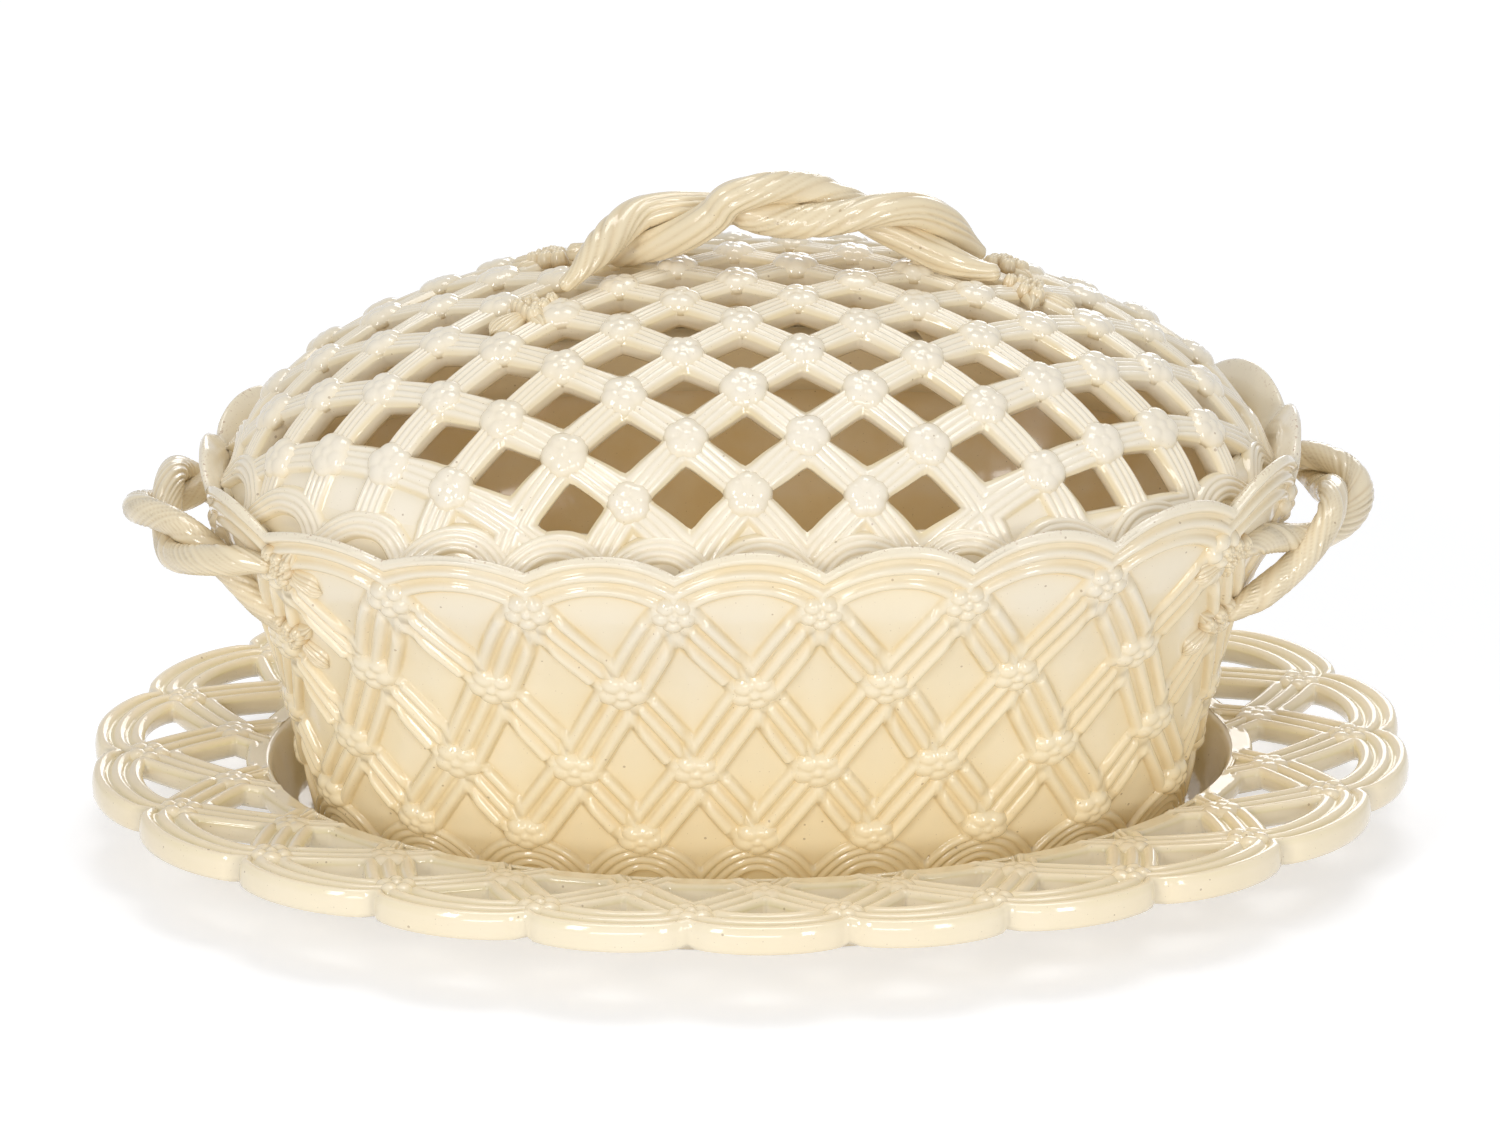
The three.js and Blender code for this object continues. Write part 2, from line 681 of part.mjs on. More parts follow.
// Rope handles. A strand is a loft of fluted rings along its centre line.
function strand(centres, guides, radius) {
  const rings = centres.map((centre, i) => {
    const ahead = centres[Math.min(i + 1, centres.length - 1)];
    const behind = centres[Math.max(i - 1, 0)];
    const along = ahead.clone().sub(behind).normalize();
    const side = guides[i].clone().addScaledVector(along, -guides[i].dot(along)).normalize();
    const over = along.clone().cross(side);
    return Array.from({ length: strandSides }, (_, j) => {
      const angle = (2 * Math.PI * j) / strandSides + 2 * Math.PI * fluteTurnShare * i;
      const reach = j % 2 ? radius * strandFluteShare : radius;
      return centre.clone()
        .addScaledVector(side, reach * Math.cos(angle))
        .addScaledVector(over, reach * Math.sin(angle));
    });
  });
  return loft(rings.reverse());
}

// Two strands that wind round a common line and leave it for their own ends.
// ends holds the first and last centre of each strand.
function windPair(line, sideways, startAngle, turns, blendShare, radius, ends) {
  const spread = radius + strandRoom;
  return ends.map(([first, last], which) => {
    const centres = [];
    const guides = [];
    for (let i = 0; i <= strandSteps; i++) {
      const share = i / strandSteps;
      const along = line.getTangentAt(share);
      const side = sideways.clone().addScaledVector(along, -sideways.dot(along)).normalize();
      const up = side.clone().cross(along);
      const angle = startAngle + 2 * Math.PI * turns * share + Math.PI * which;
      const guide = side.multiplyScalar(Math.cos(angle)).addScaledVector(up, Math.sin(angle));
      guides.push(guide);
      centres.push(line.getPointAt(share).addScaledVector(guide, spread));
    }
    const firstMove = first.clone().sub(centres[0]);
    const lastMove = last.clone().sub(centres[strandSteps]);
    centres.forEach((centre, i) => {
      const share = i / strandSteps;
      centre.addScaledVector(firstMove, THREE.MathUtils.smoothstep(1 - share, 1 - blendShare, 1));
      centre.addScaledVector(lastMove, THREE.MathUtils.smoothstep(share, 1 - blendShare, 1));
    });
    return strand(centres, guides, radius);
  });
}

// A five-lobed flower with a raised heart, seated on a surface at point with the given normal.
function sprig(point, normal) {
  const lie = new THREE.Quaternion().setFromUnitVectors(new THREE.Vector3(0, 0, 1), normal);
  const corners = 2 * sprigLobes;
  const ring = (reachShare, heightShare) => Array.from({ length: corners }, (_, j) => {
    const angle = (2 * Math.PI * j) / corners;
    const reach = sprigRadius * reachShare * (j % 2 ? sprigNotchShare : 1);
    const height = sprigThickness * heightShare + sprigSeat;
    return new THREE.Vector3(reach * Math.cos(angle), reach * Math.sin(angle), height)
      .applyQuaternion(lie).add(point);
  });
  return loft([ring(sprigHeartShare, 1), ring(1, sprigShoulderShare), ring(1, 0)]);
}

function basketHandle(side) {
  const left = side === 'left';
  const off = (share, drop, standOff, back) => {
    const place = placeShare(share, left, back);
    const z = basketRim - drop;
    const outward = wallNormal(place, z).setZ(0).normalize();
    return wallPoint(place, z).addScaledVector(outward, standOff);
  };
  const line = new THREE.CatmullRomCurve3([
    off(rootRoundShare, rootDrop, rootStandOff, false),
    off(elbowRoundShare, elbowDrop, elbowStandOff, false),
    off(bendRoundShare, bendDrop, bendStandOff, false),
    off(elbowRoundShare, elbowDrop, elbowStandOff, true),
    off(rootRoundShare, rootDrop, rootStandOff, true),
  ]);
  const end = (share, drop, back) => {
    const place = placeShare(share, left, back);
    const z = basketRim - drop;
    return reliefPoint([place * basketScallops, z], bandRise + bendStrandRadius + bendStrandLift);
  };
  const lowerFront = end(lowerEndShare, lowerEndDrop, false);
  const upperFront = end(upperEndShare, upperEndDrop, false);
  const lowerBack = end(lowerEndShare, lowerEndDrop, true);
  const upperBack = end(upperEndShare, upperEndDrop, true);
  const [rising, falling] = windPair(
    line, new THREE.Vector3(0, 0, 1), Math.PI, bendTurnShare, bendBlendShare, bendStrandRadius,
    [[lowerFront, upperBack], [upperFront, lowerBack]],
  );
  part.add(meshOf(`${side}_handle_strand_a`, rising, ropeCream));
  part.add(meshOf(`${side}_handle_strand_b`, falling, ropeCream));
}

function basketSprigs() {
  for (const { name, share, z } of basketTerminals) {
    const seat = reliefPoint([share * basketScallops, z], bandRise);
    part.add(meshOf(name, sprig(seat, wallNormal(share, z)), ropeCream));
  }
}

function coverHandle() {
  const domeTop = domeHeight(0, 0);
  const foot = (x) => domeHeight(x, archSide) + archStrandRadius + strandLift + archRootLift;
  const shoulder = (share) => {
    const x = THREE.MathUtils.lerp(archLeft, archRight, share);
    const z = THREE.MathUtils.lerp(foot(x), domeTop + archHeight, archShoulderHeightShare);
    return new THREE.Vector3(x, archSide / 2, z);
  };
  const line = new THREE.CatmullRomCurve3([
    new THREE.Vector3(archLeft, archSide, foot(archLeft)),
    shoulder(archShoulderShares[0]),
    new THREE.Vector3(archTop, 0, domeTop + archHeight),
    shoulder(archShoulderShares[1]),
    new THREE.Vector3(archRight, archSide, foot(archRight)),
  ]);
  const end = ({ strandX, strandY }) => domePoint(strandX, strandY, -archStrandRadius - strandLift);
  const { left_front, left_back, right_front, right_back } = coverTerminals;
  const [first, second] = windPair(
    line, new THREE.Vector3(0, -1, 0), 0, archTurnShare, archBlendShare, archStrandRadius,
    [[end(left_front), end(right_back)], [end(left_back), end(right_front)]],
  );
  part.add(meshOf('cover_handle_strand_a', first, ropeCream));
  part.add(meshOf('cover_handle_strand_b', second, ropeCream));
  for (const [place, { x, y }] of Object.entries(coverTerminals)) {
    part.add(meshOf(`cover_sprig_${place}`, sprig(domePoint(x, y, 0), domeNormal(x, y)), ropeCream));
  }
}

const part = new THREE.Group();
part.add(meshOf('stand_dish', standDish(), standCream));
part.add(meshOf('basket_body', basketBody(), cream));
part.add(meshOf('cover_dome', coverDome(), coverCream));
basketHandle('left');
basketHandle('right');
basketSprigs();
coverHandle();

export default part;
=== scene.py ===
# Creamware fruit basket with rope handles, its pierced domed cover and its pierced stand.
# Lengths are millimetres in the frame's axes, and MM carries them to Blender's metres.
import math

import bmesh
import bpy
import numpy as np
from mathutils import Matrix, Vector


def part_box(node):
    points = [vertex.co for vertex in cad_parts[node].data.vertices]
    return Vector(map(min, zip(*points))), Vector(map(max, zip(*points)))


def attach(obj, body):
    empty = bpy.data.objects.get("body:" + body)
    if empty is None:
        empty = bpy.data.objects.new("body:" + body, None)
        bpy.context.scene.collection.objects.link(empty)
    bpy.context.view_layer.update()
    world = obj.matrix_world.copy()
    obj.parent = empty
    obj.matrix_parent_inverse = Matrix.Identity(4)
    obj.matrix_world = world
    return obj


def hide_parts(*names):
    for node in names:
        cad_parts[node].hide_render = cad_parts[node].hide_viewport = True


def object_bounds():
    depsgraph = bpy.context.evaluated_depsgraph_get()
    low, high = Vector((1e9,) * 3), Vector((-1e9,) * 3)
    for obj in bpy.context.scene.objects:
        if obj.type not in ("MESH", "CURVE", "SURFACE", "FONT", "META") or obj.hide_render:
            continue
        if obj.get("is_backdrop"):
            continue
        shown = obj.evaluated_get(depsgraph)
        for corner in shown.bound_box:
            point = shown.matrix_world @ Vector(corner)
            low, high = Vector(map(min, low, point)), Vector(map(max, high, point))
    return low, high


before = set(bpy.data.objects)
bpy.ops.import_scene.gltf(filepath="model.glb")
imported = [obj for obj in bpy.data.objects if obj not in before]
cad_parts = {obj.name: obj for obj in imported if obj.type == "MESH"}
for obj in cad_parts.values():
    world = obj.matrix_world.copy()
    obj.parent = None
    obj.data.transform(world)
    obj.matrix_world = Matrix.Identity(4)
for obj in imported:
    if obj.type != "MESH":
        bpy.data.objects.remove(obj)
cad_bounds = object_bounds()

MM = 0.001
TINY = 1e-9
SEED = 7
rng = np.random.default_rng(SEED)

# Sizes shared with the frame
BASKET_BASE_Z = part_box("basket_body")[0].z / MM
BASKET_RIM = (118.2, 73.3)  # half length and half depth at the valleys of the rim
BASKET_FLARE = 23.6  # of the wall, from its foot to the rim
BASKET_HEIGHT = 83.1
BASKET_SCALLOPS = 20
CREST_RISE = 5.2  # of the rim's arches over its valleys
WALL = 4.4
FLOOR_TOP = BASKET_BASE_Z + 4.6
PLAN_EXPONENT = 2.32  # of the ovals of the basket and the cover
PROFILE_HEIGHTS = (0, 0.18, 0.39, 0.63, 0.88, 1)
PROFILE_FLARES = (0, 0.14, 0.28, 0.54, 0.9, 1)
BASE_HALF = (BASKET_RIM[0] - BASKET_FLARE, BASKET_RIM[1] - BASKET_FLARE)
RIM_Z = BASKET_BASE_Z + BASKET_HEIGHT

STAND_VALLEYS = (141.7, 98.7)  # half length and half depth at the valleys of its rim
WELL_MOUTH = (106.0, 71.0)
STAND_SCALLOPS = 22
STAND_RISE = 3.4
STAND_TOP = 20.6
MOUTH_TOP = 18.8
FLANGE = 4.4  # thickness
STAND_RIM = 6.2
WELL_WALL = 4.5
FOOT_INSET = 6.5

COVER_EDGE_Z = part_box("cover_dome")[0].z / MM
COVER_SPRING_Z = COVER_EDGE_Z + 5.4
COVER_HALF = (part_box("cover_dome")[1].x / MM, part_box("cover_dome")[1].y / MM)
COVER_RISE = 44.9
COVER_WALL = 4.8
DOME_PLAN = 2.31
DOME_POWER = 1.687
CELL = (12.69, 9.23)  # half the lattice's cell, along and across
LATTICE_SHIFT = (-0.23, 0.3)  # of a cell
HOLE = (8.3, 4.9)  # half its diagonals
SQUEEZE_START = 0.8  # share of the plan from which the lattice's rows close up
PIERCED_LEAN = 0.045  # how much further the holes reach at the right end

FINE = 8  # steps along a straight band
ARCH_STEPS = 16


# Arrays, curves and surfaces

def arrays(*values):
    return np.broadcast_arrays(*(np.asarray(value, float) for value in values))


def unit(vectors):
    return vectors / np.maximum(np.linalg.norm(vectors, axis=-1, keepdims=True), TINY)


def column(values):
    return np.array(values)[:, None]


def around(things):
    """Each of a list with the next one, and the last with the first."""
    return zip(things, things[1:] + things[:1])


def levelled(points, z):
    """The points moved straight up or down to a height."""
    return np.column_stack([points[:, :2], np.full(len(points), z)])


def arch(share, power=2.1):
    """0 at both ends, 1 in the middle, with a cusp where two meet."""
    return 1 - np.abs(2 * share - 1) ** power


def smoothstep(x):
    x = np.clip(x, 0, 1)
    return x * x * (3 - 2 * x)


def rounded(share):
    """From 0 to 1 along a quarter circle."""
    return np.sqrt(1 - (1 - np.clip(share, 0, 1)) ** 2)


def smooth_curve(xs, ys):
    """A cubic through the points, with no kinks."""
    xs, ys = np.array(xs, float), np.array(ys, float)
    slopes = np.gradient(ys, xs)

    def value(x):
        x = np.clip(x, xs[0], xs[-1])
        i = np.clip(np.searchsorted(xs, x, side="right") - 1, 0, len(xs) - 2)
        width = xs[i + 1] - xs[i]
        t = (x - xs[i]) / width
        return (ys[i] * (2 * t ** 3 - 3 * t ** 2 + 1) + ys[i + 1] * (3 * t ** 2 - 2 * t ** 3)
                + slopes[i] * width * (t ** 3 - 2 * t ** 2 + t) + slopes[i + 1] * width * (t ** 3 - t ** 2))
    return value


def oval_share(x, y, half, exponent):
    """How far out (x, y) lies in an oval: 1 on its outline."""
    return (np.abs(x / half[0]) ** exponent + np.abs(y / half[1]) ** exponent) ** (1 / exponent)


class Ovals:
    """Equal steps of length round ovals that grow outwards from one base oval.

    A share of 0 is the left end, and shares run to the front first.
    """

    STEPS = 1440

    def __init__(self, half, exponent, largest_flare=0.0, rows=2):
        self.half, self.exponent = half, exponent
        self.spacing = max(largest_flare, 1.0) / (rows - 1)
        shares = np.linspace(0, 1, self.STEPS + 1)
        angles = math.pi + 2 * math.pi * shares
        table = []
        for row in range(rows):
            x, y = self.point(angles, self.spacing * row)
            run = np.concatenate([[0], np.cumsum(np.hypot(np.diff(x), np.diff(y)))])
            table.append(np.interp(shares, run / run[-1], angles))
        self.table = np.array(table)

    def point(self, angle, flare):
        x, y = np.cos(angle), np.sin(angle)
        share = oval_share(x, y, (self.half[0] + flare, self.half[1] + flare), self.exponent)
        return x / share, y / share

    def at(self, share, flare=0.0):
        share, flare = arrays(share, flare)
        step = (share - np.floor(share)) * self.STEPS
        place = np.minimum(step.astype(int), self.STEPS - 1)
        level = np.clip(flare / self.spacing, 0, len(self.table) - 1)
        row = np.minimum(level.astype(int), len(self.table) - 2)
        s, t = step - place, level - row
        low, high = (self.table[r, place] * (1 - s) + self.table[r, place + 1] * s for r in (row, row + 1))
        return self.point(low * (1 - t) + high * t, flare)


def lifted(place, near):
    """Turns a surface place(u, v) into one that is raised along its outward normal, (u, v, lift)."""
    def raised(u, v, lift=0.0):
        u, v, lift = arrays(u, v, lift)
        along = place(u + near[0], v) - place(u - near[0], v)
        across = place(u, v + near[1]) - place(u, v - near[1])
        return place(u, v) + unit(np.cross(along, across)) * lift[..., None]
    return raised


def scale_at(surface, u, v, step=0.05):
    """Millimetres of a surface for a step of one in u and in v."""
    along = np.linalg.norm(surface(u + step, v) - surface(u - step, v)) / (2 * step)
    across = np.linalg.norm(surface(u, v + step) - surface(u, v - step)) / (2 * step)
    return np.array([along, across])


# Meshes

def put(name, data):
    """A new object in the scene."""
    thing = bpy.data.objects.new(name, data)
    bpy.context.scene.collection.objects.link(thing)
    return thing


def quads(rows, columns, closed=True):
    """The faces between successive rings of points, which are numbered ring by ring."""
    faces = []
    for r in range(rows - 1):
        for c in range(columns if closed else columns - 1):
            d = (c + 1) % columns
            faces.append([r * columns + c, r * columns + d, (r + 1) * columns + d, (r + 1) * columns + c])
    return faces


class Skin:
    """Gathers patches of one mesh: points, faces, and how deep in a groove or worn each point is; the groove
    share sets pooled glaze and painted shade.
    """

    WELD = 0.004

    def __init__(self):
        self.points, self.faces, self.groove, self.wear = [], [], [], []
        self.count = 0

    def add(self, points, faces, groove, wear=0.0):
        self.points.append(points)
        self.groove.append(groove)
        self.wear.append(np.broadcast_to(wear, len(points)))
        self.faces.extend([[i + self.count for i in face] for face in faces])
        self.count += len(points)

    def rings(self, rings, closed=True, groove=0.0, wear=0.0, cap_first=False, cap_last=False):
        """Quads between successive rings of equal length."""
        rings = np.asarray(rings)
        rows, columns = rings.shape[:2]
        faces, points = quads(rows, columns, closed), rings.reshape(-1, 3)
        groove, wear = (np.broadcast_to(value, (rows, columns)).ravel() for value in (groove, wear))
        for ring, wanted in ((0, cap_first), (rows - 1, cap_last)):
            if wanted:
                start = ring * columns
                faces += [[start + c, start + (c + 1) % columns, len(points)] for c in range(columns)]
                points = np.vstack([points, rings[ring].mean(0)])
                groove, wear = np.append(groove, groove[start]), np.append(wear, wear[start])
        self.add(points, faces, groove, wear)

    def build(self, name, body, slot, material, nodes=()):
        mesh = bpy.data.meshes.new(name)
        mesh.from_pydata((np.vstack(self.points) * MM).tolist(), [], self.faces)
        for label, values in (("groove", self.groove), ("wear", self.wear)):
            layer = mesh.attributes.new(label, "FLOAT", "POINT")
            layer.data.foreach_set("value", np.concatenate(values).astype(np.float32))
        bm = bmesh.new()
        bm.from_mesh(mesh)
        bmesh.ops.remove_doubles(bm, verts=bm.verts, dist=self.WELD * MM)
        bmesh.ops.dissolve_degenerate(bm, edges=bm.edges, dist=self.WELD * MM)
        bmesh.ops.recalc_face_normals(bm, faces=bm.faces)
        bm.to_mesh(mesh)
        bm.free()
        mesh.polygons.foreach_set("use_smooth", [True] * len(mesh.polygons))
        mesh.materials.append(material)
        piece = put(name, mesh)
        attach(piece, body)
        if nodes:
            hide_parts(*nodes)


# Bands of reeds. q runs from a band's middle, 0, to its edge, 1.
BAND_Q = np.array([0, 0.07, 0.14, 0.2, 0.25, 0.29, 0.34, 0.39, 0.44, 0.49, 0.55, 0.62, 0.68, 0.74, 0.8, 0.86,
                   0.91, 0.95, 0.98, 1.0])
THREE_REEDS, FOUR_REEDS = (0, 0.7), (0.24, 0.72)  # middles of the reeds in half a band
BED_EDGE = 0.88  # where the band's low bed starts to fall
REED_FULLNESS = 0.9


def reeds(centres, half_width, bed, rise):
    """Heights over the panel of half a band: round reeds about the given q, on a low bed."""
    height = bed * (1 - smoothstep((BAND_Q - BED_EDGE) / (1 - BED_EDGE)))
    for centre in centres:
        height = height + rise * np.clip(1 - ((BAND_Q - centre) / half_width) ** 2, 0, 1) ** REED_FULLNESS
    return height


# Cells: the half bands round a panel or a hole, and what they enclose

def polyline_meet(a, b):
    """Places along two polylines where they cross, nearest to the end of a and the start of b."""
    cross = lambda one, other: one[..., 0] * other[..., 1] - one[..., 1] * other[..., 0]
    run_a, run_b = np.diff(a, axis=0)[:, None], np.diff(b, axis=0)[None]
    gap = b[None, :-1] - a[:-1, None]
    turn = cross(run_a, run_b)
    turn[np.abs(turn) < TINY] = np.nan
    t, w = cross(gap, run_b) / turn, cross(gap, run_a) / turn
    met = (t >= -TINY) & (t <= 1 + TINY) & (w >= -TINY) & (w <= 1 + TINY)
    if not met.any():
        raise ValueError("two edges of a cell don't meet inside it")
    i, j = np.indices(turn.shape)
    nearest = np.argmin(np.where(met, j + w - i - t, np.inf))
    return (i + t).flat[nearest], (j + w).flat[nearest]


def along_polyline(line, place):
    place = np.clip(place, 0, len(line) - 1 - TINY)
    i = place.astype(int)
    t = column(place - i)
    return line[i] * (1 - t) + line[i + 1] * t


def inner_edges(edges, widths):
    """The polygon that lies the given widths inside one of curved edges.

    An edge with no width gives one corner, where the insides of its neighbours meet. The first edge
    has a width.
    """
    reach = 3 * max(width for width in widths if width)
    offsets = {}
    for j, (edge, width) in enumerate(zip(edges, widths)):
        if width:
            tangent = unit(np.gradient(edge, axis=0))
            moved = edge + np.stack([-tangent[:, 1], tangent[:, 0]], 1) * width
            offsets[j] = np.vstack([moved[0] - tangent[0] * reach, moved, moved[-1] + tangent[-1] * reach])
    starts, ends = {}, {}
    for before, after in around(list(offsets)):
        ends[before], starts[after] = polyline_meet(offsets[before], offsets[after])
    inner = []
    for j, edge in enumerate(edges):
        if j in offsets:
            inner.append(along_polyline(offsets[j], np.linspace(starts[j], ends[j], len(edge))))
        else:
            inner.append(np.repeat(inner[-1][-1:], len(edge), 0))
    return inner


def ring_of(edges):
    return np.vstack([edge[:-1] for edge in edges])


def line(a, b, steps):
    return np.linspace(np.array(a, float), np.array(b, float), steps + 1)


# A panel's rows, from its edge to its middle: share of the way there, and groove, which is pooled glaze and
# painted shade, most at the panel's edge
PANEL_ROWS = ((0.08, 0.4), (0.22, 0.24), (0.45, 0.14), (0.7, 0.1), (0.97, 0.08))
# Rows down the sides of a hole and back underneath: share of the way from the band's middle to the hole,
# share of the depth, and groove, which paints shade on the hole's sides and underside
HOLE_ROWS = ((1.0, 0.12, 0.4), (0.99, 0.35, 0.3), (0.9, 0.7, 0.3), (0.7, 0.95, 0.3), (0.0, 1.0, 0.2))


def cell(skin, edges, heights, inner, surface, depth=None, panel=0.0):
    """One cell of a pattern: half of each band round it, and the panel or the hole within.

    edges are the middles of the bands, anticlockwise in the plan of surface(u, v, lift), and inner
    the edges of the panel or hole. heights holds a band's heights for each edge, by row of BAND_Q,
    and by place along it where they change. Where depth is given the cell is open, and its sides go
    down that far and back underneath.
    """
    outer_ring, inner_ring = ring_of(edges), ring_of(inner)
    lifts = [own if own.ndim == 2 else np.repeat(column(own), len(edge), 1)
             for own, edge in zip(heights, edges)]
    lift = [own[:, :-1].copy() for own in lifts]
    for j, own in enumerate(lift):
        own[:, 0] = np.maximum(own[:, 0], lifts[j - 1][:, -1])
    lift = np.hstack(lift)
    groove = np.clip(1 - lift / lift.max(), 0, 1)
    q = BAND_Q[:, None, None]
    plan = outer_ring[None] * (1 - q) + inner_ring[None] * q
    if depth is None:
        middle = inner_ring.mean(0)
        rows = [(inner_ring * (1 - share) + middle * share, panel, colour) for share, colour in PANEL_ROWS]
    else:
        rows = [(outer_ring * (1 - share) + inner_ring * share, lift[-1] * (1 - drop) - depth * drop, colour)
                for share, drop, colour in HOLE_ROWS]
    for ring, height, colour in rows:
        plan = np.concatenate([plan, ring[None]])
        lift = np.vstack([lift, np.broadcast_to(height, len(ring))])
        groove = np.vstack([groove, np.full(len(ring), colour)])
    skin.rings(surface(plan[..., 0], plan[..., 1], lift), groove=groove, cap_last=depth is None)


def offset_cell(skin, sides, surface, metric, **options):
    """A cell of sides, each with the middle of its band, the half band's width and its heights."""
    edges, widths, heights = zip(*sides)
    inner = [edge / metric for edge in inner_edges([edge * metric for edge in edges], widths)]
    cell(skin, edges, heights, inner, surface, **options)


# Florets: small five-petalled flowers moulded over the crossings of the bands

FLORET_TURNS, FLORET_ROUNDS = 40, 12
PETALS = 5
PETAL_PLACE, PETAL, HEART = 0.62, 0.36, 0.2  # shares of the radius
PETAL_UNEVEN = 0.12  # share by which the petals' sizes differ
BULGE = 0.6  # power that gives petals and rim their fullness
FLORET_SKIRT = 1.2  # how far a floret's edge goes into the band


def floret_template(radius, height, crispness, squash=1.0):
    """Points (x, y, height), faces and groove of one flower, flat, with a petal towards -y."""
    angles = 2 * np.pi * np.arange(FLORET_TURNS) / FLORET_TURNS
    lobes = np.abs(np.cos(PETALS / 2 * (angles + np.pi / 2)))
    reach = 0.9 + 0.1 * lobes ** 0.8
    share = column(np.linspace(0, 1, FLORET_ROUNDS + 1)[1:])
    x, y = share * reach * np.cos(angles), share * reach * np.sin(angles)
    bumps = [(0.0, 0.0, HEART)]
    for k in range(PETALS):
        turn = 2 * math.pi * k / PETALS - math.pi / 2
        size = PETAL * (1 + PETAL_UNEVEN * math.sin(2.3 * k))
        bumps.append((PETAL_PLACE * math.cos(turn), PETAL_PLACE * math.sin(turn), size))
    heap = np.zeros_like(x)
    for bump_x, bump_y, size in bumps:
        far = np.hypot(x - bump_x, y - bump_y) / size
        heap = np.maximum(heap, np.clip(1 - far ** 2, 0, 1) ** BULGE)
    rim = np.clip(1 - share ** 5, 0, 1) ** BULGE
    mound = (1 - 0.35 * share ** 2) * rim
    z = height * ((1 - 0.5 * crispness) * mound + 0.5 * crispness * heap * rim)
    rings = np.stack([x * radius, y * radius * squash, z], -1)
    skirt = rings[-1:] * (1, 1, 0) - (0, 0, FLORET_SKIRT)
    points = np.vstack([np.concatenate([rings, skirt]).reshape(-1, 3), [[0, 0, height]]])
    faces = quads(FLORET_ROUNDS + 1, FLORET_TURNS)
    faces += [[c, (c + 1) % FLORET_TURNS, len(points) - 1] for c in range(FLORET_TURNS)]
    faces.append(list(range(FLORET_ROUNDS * FLORET_TURNS, len(points) - 1)))
    # The hollows between petals and the edge take the grooves' colour, and the skirt all of it: glaze pooled
    # there, and painted shade in the crease round the floret.
    hollow = 0.5 * (1 - heap) * crispness + 0.5 * share ** 6
    return points, faces, np.concatenate([hollow.ravel(), np.ones(FLORET_TURNS), [0]])


def stand_on(surface, u, v, step=0.01):
    """The point at (u, v), and the directions along u, across it and outwards there."""
    at = lambda a, b, lift=0.0: surface(np.array([a]), np.array([b]), np.array([lift]))[0]
    point = at(u, v)
    normal = unit(at(u, v, 1.0) - point)
    along = at(u + step, v) - at(u - step, v)
    along = unit(along - normal * along.dot(normal))
    return point, along, np.cross(normal, along), normal


def put_floret(skin, template, surface, u, v, spin, size, lift=0.0):
    points, faces, groove = template
    point, along, across, normal = stand_on(surface, u, v)
    c, s = math.cos(spin), math.sin(spin)
    x = (points[:, 0] * c - points[:, 1] * s) * size
    y = (points[:, 0] * s + points[:, 1] * c) * size
    skin.add(point + np.outer(x, along) + np.outer(y, across) + np.outer(points[:, 2] + lift, normal),
             faces, groove)


# Materials

def srgb(*colour):
    shares = [channel / 255 for channel in colour]
    return tuple(c / 12.92 if c <= 0.04045 else ((c + 0.055) / 1.055) ** 2.4 for c in shares) + (1.0,)


class Nodes:
    """Short calls for the nodes of a material or a world."""

    def __init__(self, owner):
        owner.use_nodes = True
        self.tree = owner.node_tree
        self.tree.nodes.clear()

    def add(self, kind, inputs=None, **settings):
        node = self.tree.nodes.new(kind)
        for key, value in settings.items():
            setattr(node, key, value)
        for key, value in (inputs or {}).items():
            if isinstance(value, bpy.types.NodeSocket):
                self.tree.links.new(value, node.inputs[key])
            else:
                node.inputs[key].default_value = value
        return node

    def mix(self, factor, a, b):
        return self.add("ShaderNodeMix", {0: factor, 6: a, 7: b}, data_type="RGBA").outputs[2]

    def math(self, operation, a, b, clamp=False):
        return self.add("ShaderNodeMath", {0: a, 1: b}, operation=operation, use_clamp=clamp).outputs[0]

    def spread(self, value, low, high, to_low=0.0, to_high=1.0):
        return self.add("ShaderNodeMapRange", {
            "Value": value, "From Min": low, "From Max": high, "To Min": to_low, "To Max": to_high,
        }).outputs[0]

    def noise(self, where, scale, detail):
        inputs = {"Vector": where, "Scale": scale, "Detail": detail}
        return self.add("ShaderNodeTexNoise", inputs).outputs["Fac"]

    def seen(self):
        """1 for a ray from the camera, in a reflection or through glass."""
        path = self.add("ShaderNodeLightPath").outputs
        either = path["Is Camera Ray"]
        for ray in ("Is Glossy Ray", "Is Transmission Ray"):
            either = self.math("MAXIMUM", either, path[ray])
        return either

    def finish(self, kind, seen, otherwise):
        """One shader for the rays that see, another for the light on the object."""
        mix = self.add("ShaderNodeMixShader", {0: self.seen(), 1: otherwise.outputs[0], 2: seen.outputs[0]})
        self.add(kind, {"Surface": mix.outputs[0]})


# Scales of the glaze's noises: slow drifts of colour, clouds, ripples and fine grain
DRIFT, CLOUD, RIPPLE, GRAIN = 16.0, 75.0, 140.0, 1500.0
WEAR_COLOUR = (190, 156, 126)
SPECK_COLOUR = (140, 104, 66)
SPECKS = ((520.0, 0.92, 0.45), (1500.0, 0.78, 0.34))  # scale, share of places with none, strength
SPECK_SIZES = (0.06, 0.18)  # of a place
RIPPLE_DEPTH, GRAIN_DEPTH = 0.0008, 0.0001


